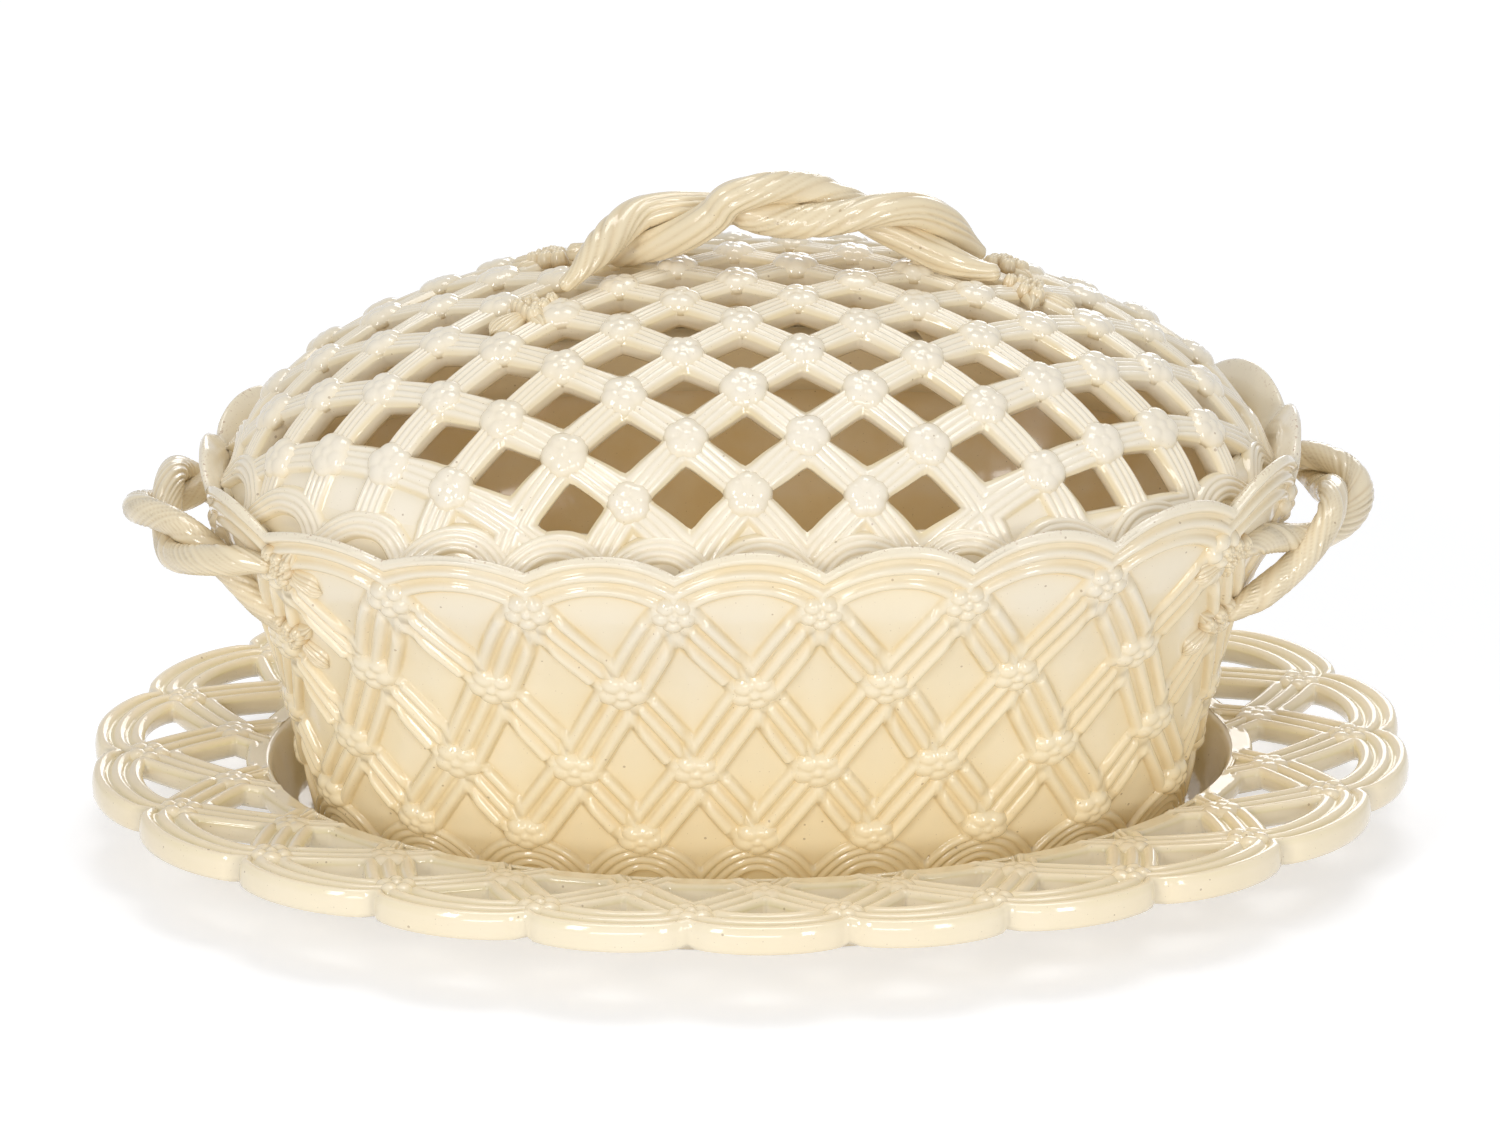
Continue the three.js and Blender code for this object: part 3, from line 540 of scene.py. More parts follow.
def glaze(name, body, pooled_and_shaded, warm, roughness, bounce_light_heights=None):
    """Cream lead glaze: thicker and more coloured in the grooves, where that colour also paints shade,
    speckled, worn on the lips.

    It is warm in drifts, and all over from the first to the second of the heights, in metres: painted warm
    bounce light low on the wall.
    """
    material = bpy.data.materials.new(name)
    n = Nodes(material)
    where = n.add("ShaderNodeTexCoord").outputs["Object"]
    groove, wear = (n.add("ShaderNodeAttribute", attribute_name=label).outputs["Fac"]
                    for label in ("groove", "wear"))
    cloud, grain = n.noise(where, CLOUD, 4.0), n.noise(where, GRAIN, 2.0)
    colour = n.mix(n.spread(n.noise(where, DRIFT, 3.0), 0.4, 0.75, 0.0, 0.6), srgb(*body), srgb(*warm))
    # Painted bounce light: the colour turns warm towards the bottom.
    if bounce_light_heights:
        height = n.add("ShaderNodeSeparateXYZ", {"Vector": where}).outputs["Z"]
        colour = n.mix(n.spread(height, *bounce_light_heights), colour, srgb(*warm))
    # The grooves' colour: partly glaze pooled in them, partly painted shade in creases and hollows.
    pool_and_shade = n.math("MULTIPLY", groove, n.spread(cloud, 0.3, 0.7, 0.35, 1.0), clamp=True)
    colour = n.mix(pool_and_shade, colour, srgb(*pooled_and_shaded))
    worn = n.math("MULTIPLY", wear, n.spread(grain, 0.58, 0.72), clamp=True)
    colour = n.mix(worn, colour, srgb(*WEAR_COLOUR))
    for scale, none, strength in SPECKS:
        spots = n.add("ShaderNodeTexVoronoi", {"Vector": where, "Scale": scale})
        chosen = n.add("ShaderNodeSeparateColor", {"Color": spots.outputs["Color"]})
        size = n.spread(chosen.outputs["Green"], 0.0, 1.0, *SPECK_SIZES)
        inside = n.math("LESS_THAN", spots.outputs["Distance"], size)
        some = n.math("GREATER_THAN", chosen.outputs["Red"], none)
        spot = n.math("MULTIPLY", n.math("MULTIPLY", inside, some), strength)
        colour = n.mix(spot, colour, srgb(*SPECK_COLOUR))
    swell = n.add("ShaderNodeBump", {
        "Height": n.noise(where, RIPPLE, 2.0), "Strength": 0.2, "Distance": RIPPLE_DEPTH,
    })
    peel = n.add("ShaderNodeBump", {
        "Height": grain, "Strength": 0.04, "Distance": GRAIN_DEPTH, "Normal": swell.outputs[0],
    })
    shader = n.add("ShaderNodeBsdfPrincipled", {
        "Base Color": colour, "Roughness": n.spread(cloud, 0.3, 0.7, *roughness), "Normal": peel.outputs[0],
        "IOR": 1.5, "Coat Weight": 0.4, "Coat Roughness": 0.05,
    })
    n.add("ShaderNodeOutputMaterial", {"Surface": shader.outputs[0]})
    return material


# The basket's lower wall is painted warmer, as bounce light from the stand.
basket_glaze = glaze("basket_glaze", (242, 232, 211), (236, 211, 160), (255, 238, 198), (0.1, 0.2),
                     (0.075, 0.015))
cover_glaze = glaze("cover_glaze", (248, 239, 221), (238, 220, 178), (246, 232, 203), (0.05, 0.1))
stand_glaze = glaze("stand_glaze", (252, 239, 213), (238, 224, 178), (250, 231, 196), (0.07, 0.14))
rope_glaze = glaze("rope_glaze", (240, 226, 196), (206, 176, 128), (234, 214, 172), (0.1, 0.18))


# The basket

BASKET_OVALS = Ovals(BASE_HALF, PLAN_EXPONENT, BASKET_FLARE, 12)
basket_flare_share = smooth_curve(PROFILE_HEIGHTS, PROFILE_FLARES)
BAND = 5.3  # half a band of three reeds
THREE = reeds(THREE_REEDS, 0.29, 0.35, 1.3)
FOUR = reeds(FOUR_REEDS, 0.25, 0.5, 0.75)
RIM_THREE = reeds(THREE_REEDS, 0.25, 0.45, 0.95)
RIM_ROWS = 15  # of BAND_Q, before the lip
FLORET_ROWS = (79.4, 58.4, 37.4, 20.4)  # heights of the rows of florets
# Radius, height, crispness and squash of each row's florets
FLORETS = ((5.4, 2.7, 0.6, 0.9), (6.0, 2.7, 0.4, 0.84), (6.0, 2.6, 0.3, 0.8), (5.5, 2.8, 0.25, 0.8))
RIM_BAND = 5.5  # the inner half of the arches' band under the rim
RIM_VALLEY_BAND, RIM_CREST_BAND = 5.0, 5.1  # its outer half at the valleys and at the crests
FOOT_ARCH_TOP = 15.7  # middle of the arches round the foot
FOOT_ARCH = 3.9
FLAT_FOOT = 0.05
RIM_CELL_Z, FOOT_CELL_Z, UNDER_ARCH_Z = 70, 20, 8  # where those cells are measured
RELIEF_SINK = 0.6  # the panels lie this far inside the wall of the frame
# How far the pattern leans round the wall, in scallops, by height, and the share of it at the right
LEAN_HEIGHTS = (5.8, 21, 38, 58, 79, 94)
LEANS = (-0.03, -0.03, -0.04, -0.07, -0.15, -0.1)
LEAN_RIGHT = 0.5
basket_lean = smooth_curve(LEAN_HEIGHTS, LEANS)
# Distances along a band from a crossing, where its columns stand, and where a band that passes
# under another one ends
END_STEPS = np.array([0.0, 2.8, 5.0, 5.4, 5.8, 6.3, 6.9, 7.7])
HIDDEN_END, ROUNDED_END = 4.7, 1.6
RIGHT_RISERS_OVER = 7.2  # scallops from each end where those bands pass over the others
FAINT = 0.6  # share of its height that a worn band keeps
# The pressed pattern rises towards the right end, and the rim's arches are low at the left of the
# front, where they were worn or pressed down
PATTERN_TILT, TILT_HEIGHT = 2.6, 70
LOW_ARCHES, LOW_ARCHES_AT, LOW_ARCHES_REACH = 0.5, 2.6, 1.4
# The thin lip, from outside to inside: inset, height over the rim's edge, and wear
LIP = ((-0.5, -0.9, 0.1), (-0.2, -0.3, 0.5), (0.2, -0.02, 1.0), (0.6, -0.16, 0.9), (1.2, -0.7, 0.4),
       (2.0, -1.6, 0.1), (3.0, -2.8, 0.0), (WALL - 0.2, -4.4, 0.0))
INSIDE_SHARES = np.linspace(0.91, 0.06, 16)  # of the height, down the plain inside
INSIDE_CORNER = ((1.4, 0.3), (4.0, 0.0))  # inset from the wall, and height over the floor
UNDERSIDE = ((RELIEF_SINK, 0.0), (3.0, 0.0), (3.6, 0.5))  # inset, and height over the foot


def basket_wall(k, z, inset=0.0):
    flare = BASKET_FLARE * basket_flare_share((z - BASKET_BASE_Z) / BASKET_HEIGHT) - inset
    x, y = BASKET_OVALS.at(np.asarray(k, float) / BASKET_SCALLOPS, flare)
    return np.stack([x, y, np.broadcast_to(z, x.shape)], -1)


def rightward(k):
    """-1 at the left end, 1 at the right end."""
    return -np.cos(2 * math.pi * np.asarray(k, float) / BASKET_SCALLOPS)


def leaning(k, z):
    """The place of the pattern's scallop k at a height: it leans most at the left end."""
    return k + basket_lean(z) * (1 - (1 - LEAN_RIGHT) * (1 + rightward(k)) / 2)


def tilted(k, z):
    """The height of a place of the pattern, which drops to the left and rises to the right."""
    side = rightward(k)
    return z + PATTERN_TILT * side * np.abs(side) * smoothstep((z - BASKET_BASE_Z) / TILT_HEIGHT)


def crest_rise(k):
    return CREST_RISE * (1 - LOW_ARCHES * np.exp(-((k - LOW_ARCHES_AT) / LOW_ARCHES_REACH) ** 2))


def crest_band(k):
    """The outer half of an arch's band at its crest: the reeds keep more of their arch than the rim."""
    return RIM_CREST_BAND - (CREST_RISE - crest_rise(k)) / 2


plain_shell = lifted(lambda k, z: basket_wall(k, z, RELIEF_SINK), (0.01, 0.1))
basket_shell = lifted(lambda k, z: basket_wall(leaning(k, z), tilted(k, z), RELIEF_SINK), (0.01, 0.1))
WALL_METRIC = scale_at(plain_shell, BASKET_SCALLOPS / 4, 50)


def arch_curve(k, low, high, steps=ARCH_STEPS, start=0.0, end=1.0):
    """An arch between the valleys either side of scallop k, from left to right."""
    share = np.linspace(start, end, steps + 1)
    return np.stack([k - 0.5 + share, low + (high - low) * arch(share)], 1)


def rises_right(edge):
    return (edge[-1, 0] - edge[0, 0]) * (edge[-1, 1] - edge[0, 1]) > 0


def right_riser_over(k):
    """Whether the bands that rise to the right pass over the others at scallop k."""
    return k % (BASKET_SCALLOPS / 2) < RIGHT_RISERS_OVER


def lattice_lift(edge):
    """A band's heights along an edge: it ends, rounded, where it meets a band that passes over it."""
    place = edge * WALL_METRIC
    share = np.ones(len(edge))
    crossing = np.zeros((len(BAND_Q), len(edge)))
    q = column(BAND_Q)
    for corner in (0, -1):
        top_row = edge[corner, 1] == FLORET_ROWS[0]
        over = rises_right(edge) == right_riser_over(edge[corner, 0])
        if over and not top_row:
            continue
        far = np.linalg.norm(place - place[corner], axis=1)
        share = share * rounded((far - HIDDEN_END) / ROUNDED_END)
        across = far[None] / BAND * (1 - q) + 1.05 * q
        crossing = np.maximum(crossing, np.interp(across, BAND_Q, THREE))
    worn = rises_right(edge) and not right_riser_over(edge[:, 0].mean())
    return np.maximum(column(THREE) * share[None] * (FAINT if worn else 1.0), crossing)


def lattice_side(a, b):
    """A cell's side: a straight band from crossing to crossing, with columns for its rounded ends."""
    a, b = np.array(a, float), np.array(b, float)
    near = END_STEPS / np.linalg.norm((b - a) * WALL_METRIC)
    middle = np.linspace(near[-1], 1 - near[-1], 5)[1:-1]
    share = column(np.concatenate([near, middle, 1 - near[::-1]]))
    edge = a * (1 - share) + b * share
    return edge, BAND, lattice_lift(edge)


def basket_cells(skin):
    f1, f2, f3, f4 = FLORET_ROWS
    for k in range(BASKET_SCALLOPS):
        c = k + 0.5
        metric = lambda z: scale_at(plain_shell, k, z)
        # Under a rim arch, down to the second row
        top = arch_curve(k, RIM_Z - RIM_VALLEY_BAND, RIM_Z + crest_rise(k) - crest_band(k))[::-1]
        sides = [(top, RIM_BAND, RIM_THREE), (line(top[-1], (k - 0.5, f1), 3), None, RIM_THREE),
                 lattice_side((k - 0.5, f1), (k, f2)), lattice_side((k, f2), (c, f1)),
                 (line((c, f1), top[0], 3), None, RIM_THREE)]
        offset_cell(skin, sides, basket_shell, metric(RIM_CELL_Z))
        # Rhombic cells of the second and third rows
        for at, above, row, below in ((c, f1, f2, f3), (k, f2, f3, f4)):
            corners = [(at, above), (at - 0.5, row), (at, below), (at + 0.5, row)]
            offset_cell(skin, [lattice_side(*ends) for ends in around(corners)], basket_shell, metric(row))
        # Between two arches of the foot
        left = arch_curve(k, BASKET_BASE_Z, FOOT_ARCH_TOP, ARCH_STEPS // 2, 0.5, 1.0)
        right = arch_curve(k + 1, BASKET_BASE_Z, FOOT_ARCH_TOP, ARCH_STEPS // 2, 0.0, 0.5)
        sides = [lattice_side((c, f3), (k, f4)), (line((k, f4), left[0], 3), None, FOUR),
                 (left, FOOT_ARCH, FOUR), (right, FOOT_ARCH, FOUR),
                 (line(right[-1], (k + 1, f4), 3), None, FOUR), lattice_side((k + 1, f4), (c, f3))]
        offset_cell(skin, sides, basket_shell, metric(FOOT_CELL_Z))
        # Under an arch of the foot
        foot = arch_curve(k, BASKET_BASE_Z, FOOT_ARCH_TOP)
        sides = [(line(foot[0], foot[-1], ARCH_STEPS), FLAT_FOOT, FOUR * 0), (foot[::-1], FOOT_ARCH, FOUR)]
        offset_cell(skin, sides, basket_shell, metric(UNDER_ARCH_Z))


def basket_rim(skin):
    """The outer half of each rim arch's band, the thin lip, the plain inside and the underside."""
    k = np.arange(BASKET_SCALLOPS * ARCH_STEPS) / ARCH_STEPS
    crest = arch((k + 0.5) % 1.0)
    scallop = np.floor(k + 0.5)
    top = RIM_Z + crest_rise(scallop) * crest
    width = RIM_VALLEY_BAND + (crest_band(scallop) - RIM_VALLEY_BAND) * crest
    wall = lambda z, inset: basket_wall(leaning(k, z), tilted(k, z), inset)
    level = lambda inset, z: levelled(wall(BASKET_BASE_Z, inset), z)
    rows = [(basket_shell(k, top - width * (1 - q), lift), 1 - lift / RIM_THREE.max(), 0.0)
            for q, lift in zip(BAND_Q[:RIM_ROWS], RIM_THREE)]
    rows += [(wall(top, inset) + (0, 0, rise), 0.0, worn) for inset, rise, worn in LIP]
    # The plain inside and its corner take the grooves' colour all over: painted shade inside the basket.
    rows += [(wall(BASKET_BASE_Z + BASKET_HEIGHT * share, WALL), 1.0, 0.0) for share in INSIDE_SHARES]
    rows += [(level(WALL + inset, FLOOR_TOP + rise), 1.0, 0.0) for inset, rise in INSIDE_CORNER]
    points, groove, wear = zip(*rows)
    skin.rings(points, groove=column(groove), wear=column(wear), cap_last=True)
    skin.rings([level(inset, BASKET_BASE_Z + rise) for inset, rise in UNDERSIDE], cap_last=True)


def basket():
    skin = Skin()
    basket_cells(skin)
    basket_rim(skin)
    skin.build("basket_wall", "basket", "basket", basket_glaze, ["basket_body"])
    florets = Skin()
    for row, (z, kind) in enumerate(zip(FLORET_ROWS, FLORETS)):
        template = floret_template(*kind)
        for k in range(BASKET_SCALLOPS):
            spin, size = rng.normal(0, 0.12), rng.uniform(0.95, 1.06)
            put_floret(florets, template, basket_shell, k if row % 2 else k + 0.5, z, spin, size)
    florets.build("basket_florets", "basket", "basket", basket_glaze)


# The stand

STAND_OVAL = Ovals(STAND_VALLEYS, 2)
MOUTH_OVAL = Ovals(WELL_MOUTH, 2)
WELL_OUTER = (WELL_MOUTH[0] + WELL_WALL / 2, WELL_MOUTH[1] + WELL_WALL / 2)
WELL_FOOT = (WELL_OUTER[0] - FOOT_INSET, WELL_OUTER[1] - FOOT_INSET)
# Shares of the flange's width, from the rim's valleys to the well: where its two rows of florets
# lie, and where its cells under an arch, inwards of a valley and under a floret are measured
VALLEY_FLORET, MIDDLE_FLORET = 0.28, 0.76
ARCH_CELL, VALLEY_CELL, BLIND_CELL = 0.35, 0.7, 0.9
FOOT_REACH = 0.3  # of a scallop: where the bands reach the well
STAND_BAND, STAND_SHORT_BAND = 4.8, 3.9
STAND_ARCH = 5.5
STAND_PINCH = 1.6  # how far the rim's valleys cut in past the plain scallop
MOUTH_LEDGE = 4.4
BLIND_SIDE, BLIND_LEDGE = 1.6, 0.6
STAND_THREE = reeds(THREE_REEDS, 0.29, 0.12, 1.0)
LEDGE = np.interp(BAND_Q, [0, 0.3, 0.8, 0.95, 1], [0.75, 0.75, 0.75, 0.45, 0.0])
EDGE_ROOM = 0.06  # keeps the rim's edge inside the stand of the frame
RELIEF_ROOM = 0.75  # the flange's surface lies this far under the top of its bands
# The rim's edge from below: inset, and drop from the top
STAND_EDGE = ((1.6, STAND_RIM - 0.1), (0.5, STAND_RIM - 0.6), (0.1, STAND_RIM - 1.6), (EDGE_ROOM, 3.2),
              (EDGE_ROOM, 2.2), (0.2, 1.4))
STAND_ROWS = 17  # of BAND_Q, above that edge
# Painted shade on plain surfaces: the rim's edge and the top of the well's inside take this share of the
# grooves' colour.
PLAIN_SHADE = 0.2
WELL_COLUMNS = 176
# The well's foot ring from outside, inset and height, and its inside, inset and drop from the mouth
WELL_RING = ((0.0, 0.4), (1.0, 0.0), (9.0, 0.0), (10.0, 0.9))
WELL_INSIDE = ((-0.9, 0.2), (0.0, 0.15), (0.7, 0.8), (1.3, 2.2), (2.6, 6.0), (4.2, 9.6), (5.6, 11.6),
               (7.2, 12.8), (9.6, 13.3), (16.0, 13.3))
SHARP_FLORET, SOFT_FLORET = (5.2, 1.9, 0.7), (5.0, 1.6, 0.4)  # radius, height and crispness


def rim_and_mouth(k):
    """Plan of the plain rim and of the well's mouth at place k of the scallops."""
    return (np.stack(oval.at(np.asarray(k) / STAND_SCALLOPS), -1) for oval in (STAND_OVAL, MOUTH_OVAL))


def flange_place(k, share):
    rim, mouth = rim_and_mouth(k)
    share = share[..., None]
    height = STAND_TOP - RELIEF_ROOM + (MOUTH_TOP - STAND_TOP) * share
    return np.concatenate([rim * (1 - share) + mouth * share, height], -1)


flange = lifted(flange_place, (0.01, 0.01))


def stand_edge(k, inset):
    """Share of the flange's width at which the scalloped rim lies, moved inwards."""
    rim, mouth = rim_and_mouth(k)
    rise = arch(k - np.floor(k))
    return (inset + STAND_PINCH * (1 - rise) ** 6 - STAND_RISE * rise) / np.linalg.norm(rim - mouth, axis=-1)


def oval_ring(oval, inset, z):
    """A level ring that lies inside an oval."""
    x, y = Ovals((oval[0] - inset, oval[1] - inset), 2).at(np.arange(WELL_COLUMNS) / WELL_COLUMNS)
    return levelled(np.stack([x, y], 1), z)


def stand_cells(skin):
    v, m = VALLEY_FLORET, MIDDLE_FLORET
    corner = lambda a, b: (line(a, b, 2), None, STAND_THREE)
    wide = lambda a, b: (line(a, b, FINE), STAND_BAND, STAND_THREE)
    short = lambda a, b, width=STAND_SHORT_BAND: (line(a, b, 4), width, STAND_THREE)
    ledge = lambda a, b, width: (line(a, b, FINE), width, LEDGE)
    for k in range(STAND_SCALLOPS):
        valley, next_valley = (k, v), (k + 1, v)
        middle, last_middle = (k + 0.5, m), (k - 0.5, m)
        last_foot, foot, next_foot = (k - FOOT_REACH, 1), (k + FOOT_REACH, 1), (k + 1 - FOOT_REACH, 1)
        # Open cell under an arch
        step = np.linspace(0, 1, ARCH_STEPS + 1)
        outer = np.stack([k + step, stand_edge(k + step - TINY, STAND_ARCH)], 1)
        sides = [(outer, STAND_ARCH, STAND_THREE), corner(outer[-1], next_valley),
                 wide(next_valley, middle), wide(middle, valley), corner(valley, outer[0])]
        offset_cell(skin, sides, flange, scale_at(flange, k + 0.5, ARCH_CELL), depth=FLANGE)
        # Open cell inwards of a valley
        sides = [wide(valley, middle), short(middle, foot), ledge(foot, last_foot, MOUTH_LEDGE),
                 short(last_foot, last_middle), wide(last_middle, valley)]
        offset_cell(skin, sides, flange, scale_at(flange, k, VALLEY_CELL), depth=FLANGE)
        # Blind cell under a middle floret
        sides = [short(middle, next_foot, BLIND_SIDE), ledge(next_foot, foot, BLIND_LEDGE),
                 short(foot, middle, BLIND_SIDE)]
        offset_cell(skin, sides, flange, scale_at(flange, k + 0.5, BLIND_CELL))


def stand():
    skin = Skin()
    stand_cells(skin)
    # The rim's edge and the outer half of its arches' bands
    k = np.arange(STAND_SCALLOPS * ARCH_STEPS) / ARCH_STEPS
    rows = [flange(k, stand_edge(k, STAND_ARCH), -FLANGE)]
    rows += [levelled(flange(k, stand_edge(k, inset)), STAND_TOP - drop) for inset, drop in STAND_EDGE]
    # The rim's edge, seen from below, gets painted shade.
    groove = [PLAIN_SHADE] * len(rows)
    for q, lift in zip(BAND_Q[STAND_ROWS - 1::-1], STAND_THREE[STAND_ROWS - 1::-1]):
        rows.append(flange(k, stand_edge(k, STAND_ARCH * (1 - q) + EDGE_ROOM * q), lift))
        groove.append(1 - lift / STAND_THREE.max())
    skin.rings(rows, groove=column(groove))
    # The well, its outside and its floor
    rows = [oval_ring(WELL_FOOT, inset, z) for inset, z in WELL_RING[::-1]]
    rows.append(oval_ring(WELL_OUTER, 1.6, MOUTH_TOP - FLANGE - 0.4))
    skin.rings(rows, cap_first=True)
    # The well's inside: painted shade that deepens towards its floor.
    rows = [oval_ring(WELL_MOUTH, inset, MOUTH_TOP - drop) for inset, drop in WELL_INSIDE]
    skin.rings(rows, groove=column(np.linspace(PLAIN_SHADE, 0.6, len(rows))), cap_last=True)
    skin.build("stand_plate", "stand", "stand", stand_glaze, ["stand_dish"])

    florets = Skin()
    crisp, soft = floret_template(*SHARP_FLORET), floret_template(*SOFT_FLORET)
    for k in range(STAND_SCALLOPS):
        for share, u, kind in ((VALLEY_FLORET, k, crisp), (MIDDLE_FLORET, k + 0.5, soft)):
            put_floret(florets, kind, flange, u, share, rng.uniform(0, 6), rng.uniform(0.92, 1.05))
    florets.build("stand_florets", "stand", "stand", stand_glaze)


# The cover

# A bar of the cover is rounded like a tube, with four low reeds along it
COVER_BAND = 0.45 - 0.95 * BAND_Q ** 6 + reeds((0.22, 0.66), 0.21, 0.0, 0.36)
BORDER_BAND = 1.0 - 1.5 * BAND_Q ** 4 + reeds((0.22, 0.64), 0.21, 0.0, 0.4)
BLIND_BAND, BLIND_PANEL = 3.5, -0.5
LATTICE_REACH = 0.993  # share of the dome's plan that the lattice keeps within
# Shares of the flat lattice's plan that its holes, bosses and cells keep within
HOLE_REACH, BOSS_REACH, CELL_REACH = 1.024, 0.985, 1.22
HOLE_WANDER = 0.28
HOLE_BOW = (-0.02, 0.05)  # of the distance to the hole's middle
BOSS = (5.1, 2.3, 0.22)  # radius, height and crispness
DOME_EDGE = 0.998  # of the plan, where the dome's normals are still taken
ARCHES = 27
ARCH_PHASE = -0.25
ARCH_LOW, ARCH_HIGH = -0.6, 6.3  # middles of the border's arches above the spring line
ARCH_HALF = 3.4
ARCH_TUCK = 0.2  # of an arch: how far each leg runs on past the next arch's foot
ARCH_TUCK_SLOPE = 16  # how steeply it falls there, for one arch's width
ARCH_POWER = 2.3
ARCH_START = 0.06  # of an arch: its rounded start
ARCH_CLEAR = 1.0  # of an arch's leg over the cover's lower edge
ARCH_OVERLAP = 0.75  # how much higher an arch starts than it ends
BORDER_LIFT = -0.3  # of the plain ring under the arches
BORDER_FLARE = 1.7  # how far the ring stands out where it meets the rim
BORDER_RISE = 8.6  # top of that ring above the spring line
SKIRT = COVER_EDGE_Z - COVER_SPRING_Z
# The ring and the skirt that stands inside the basket's rim, from the arches' foot up, over and
# back down inside: height above the spring line, and lift
BORDER_ROWS = ((0.0, BORDER_LIFT), (2.0, BORDER_LIFT), (4.0, BORDER_LIFT), (6.3, BORDER_LIFT),
               (BORDER_RISE - 1.2, BORDER_LIFT - 0.1), (BORDER_RISE, BORDER_LIFT - 0.6),
               (BORDER_RISE + 0.5, BORDER_LIFT - 1.4), (BORDER_RISE, -COVER_WALL), (4.0, -COVER_WALL),
               (0.0, -COVER_WALL), (SKIRT, -COVER_WALL), (SKIRT, -1.0), (SKIRT + 0.3, BORDER_LIFT - 0.3),
               (SKIRT + 1, BORDER_LIFT), (0.0, BORDER_LIFT))
COVER_OVAL = Ovals(COVER_HALF, PLAN_EXPONENT)


def cover_radius(x, y):
    return oval_share(x, y, COVER_HALF, PLAN_EXPONENT)


def dome_height(x, y):
    fall = np.clip(1 - cover_radius(x, y) ** DOME_PLAN, 0, None)
    return COVER_SPRING_Z + COVER_RISE * fall ** (1 / DOME_POWER)


def dome(x, y, lift=0.0, step=0.02):
    """A point of the cover over (x, y), raised along the dome's normal."""
    x, y, lift = arrays(x, y, lift)
    inside = np.minimum(1, DOME_EDGE / np.maximum(cover_radius(x, y), 0.01))
    u, v = x * inside, y * inside
    slope_x = (dome_height(u + step, v) - dome_height(u - step, v)) / (2 * step)
    slope_y = (dome_height(u, v + step) - dome_height(u, v - step)) / (2 * step)
    normal = unit(np.stack([-slope_x, -slope_y, np.ones_like(slope_x)], -1))
    return np.stack([x, y, dome_height(x, y)], -1) + normal * lift[..., None]


def lattice(x, y, lift=0.0):
    """The flat lattice carried to the dome, its rows closing up towards the border."""
    share = np.maximum(cover_radius(x, y), TINY)
    over = np.clip(share - SQUEEZE_START, 0, None)
    placed = np.minimum(share - over * over, LATTICE_REACH) / share
    return dome(x * placed, y * placed, lift)


def border(k, rise, lift=0.0):
    """The cover's border: place k of the arches round it, and a height over the spring line."""
    k, rise, lift = arrays(k, rise, lift)
    x, y = COVER_OVAL.at((k + ARCH_PHASE) / ARCHES)
    share = (1 - (np.clip(rise, 0, None) / COVER_RISE) ** DOME_POWER) ** (1 / DOME_PLAN)
    flare = BORDER_FLARE * np.clip(1 - rise / 4, 0, 1) ** 2 * (lift > -1) * (rise > -1.5)
    point = dome(x * share, y * share, lift + flare)
    point[..., 2] += np.minimum(rise, 0)
    return point


def border_arch(skin, k):
    """One arch of four reeds: it starts on the last one's leg, and its own leg runs on under the next."""
    share = np.concatenate([[0.0, 0.01, 0.03, ARCH_START], np.linspace(0.1, 1 + ARCH_TUCK, 22)])
    rise = ARCH_LOW + (ARCH_HIGH - ARCH_LOW) * arch(np.clip(share, 0, 1), ARCH_POWER)
    rise -= ARCH_TUCK_SLOPE * np.clip(share - 1, 0, None)
    metric = scale_at(border, k, 3)
    middle = np.stack([k - 0.5 + share, rise], 1) * metric
    tangent = unit(np.gradient(middle, axis=0))
    outward = np.stack([-tangent[:, 1], tangent[:, 0]], 1)
    q = np.concatenate([-BAND_Q[:0:-1], BAND_Q])
    heights = column(np.concatenate([BORDER_BAND[:0:-1], BORDER_BAND]))
    plan = (middle + outward * (q * ARCH_HALF)[:, None, None]) / metric
    start = rounded(share / ARCH_START)
    slope = ARCH_OVERLAP * (1 - np.clip(share / 0.6, 0, 1))
    lift = BORDER_LIFT + 0.12 + (heights + slope * (column(np.abs(q)) < 0.99)) * start
    along, up = plan[..., 0], np.maximum(plan[..., 1], SKIRT + ARCH_CLEAR)
    foot = border(along[[0, -1]], up[[0, -1]], BORDER_LIFT - 0.4)
    rows = np.concatenate([foot[:1], border(along, up, lift), foot[1:]])
    groove = np.clip(1 - np.vstack([[0], heights, [0]]) / heights.max(), 0, 1)
    skin.rings(rows, closed=False, groove=groove)


def diamond(x, y, reach):
    return [(x - reach[0], y), (x, y - reach[1]), (x + reach[0], y), (x, y + reach[1])]


def hole_edges(x, y):
    """The sides of a hole of the lattice, slightly bowed, with soft corners."""
    corners = diamond(x, y, HOLE) + rng.normal(0, HOLE_WANDER, (4, 2))
    bow = column(np.sin(np.linspace(0, math.pi, FINE + 1))) * rng.uniform(*HOLE_BOW, 4)
    sides = [line(a, b, FINE) for a, b in around(list(corners))]
    ring = ring_of([side + bow[:, i:i + 1] * ((x, y) - side) for i, side in enumerate(sides)])
    ring = (np.roll(ring, 1, 0) + 4 * ring + np.roll(ring, -1, 0)) / 6
    ring /= column(np.maximum(cover_radius(ring[:, 0], ring[:, 1]) / HOLE_REACH, 1))
    ring = np.vstack([ring, ring[:1]])
    return [ring[i * FINE:(i + 1) * FINE + 1] for i in range(4)]


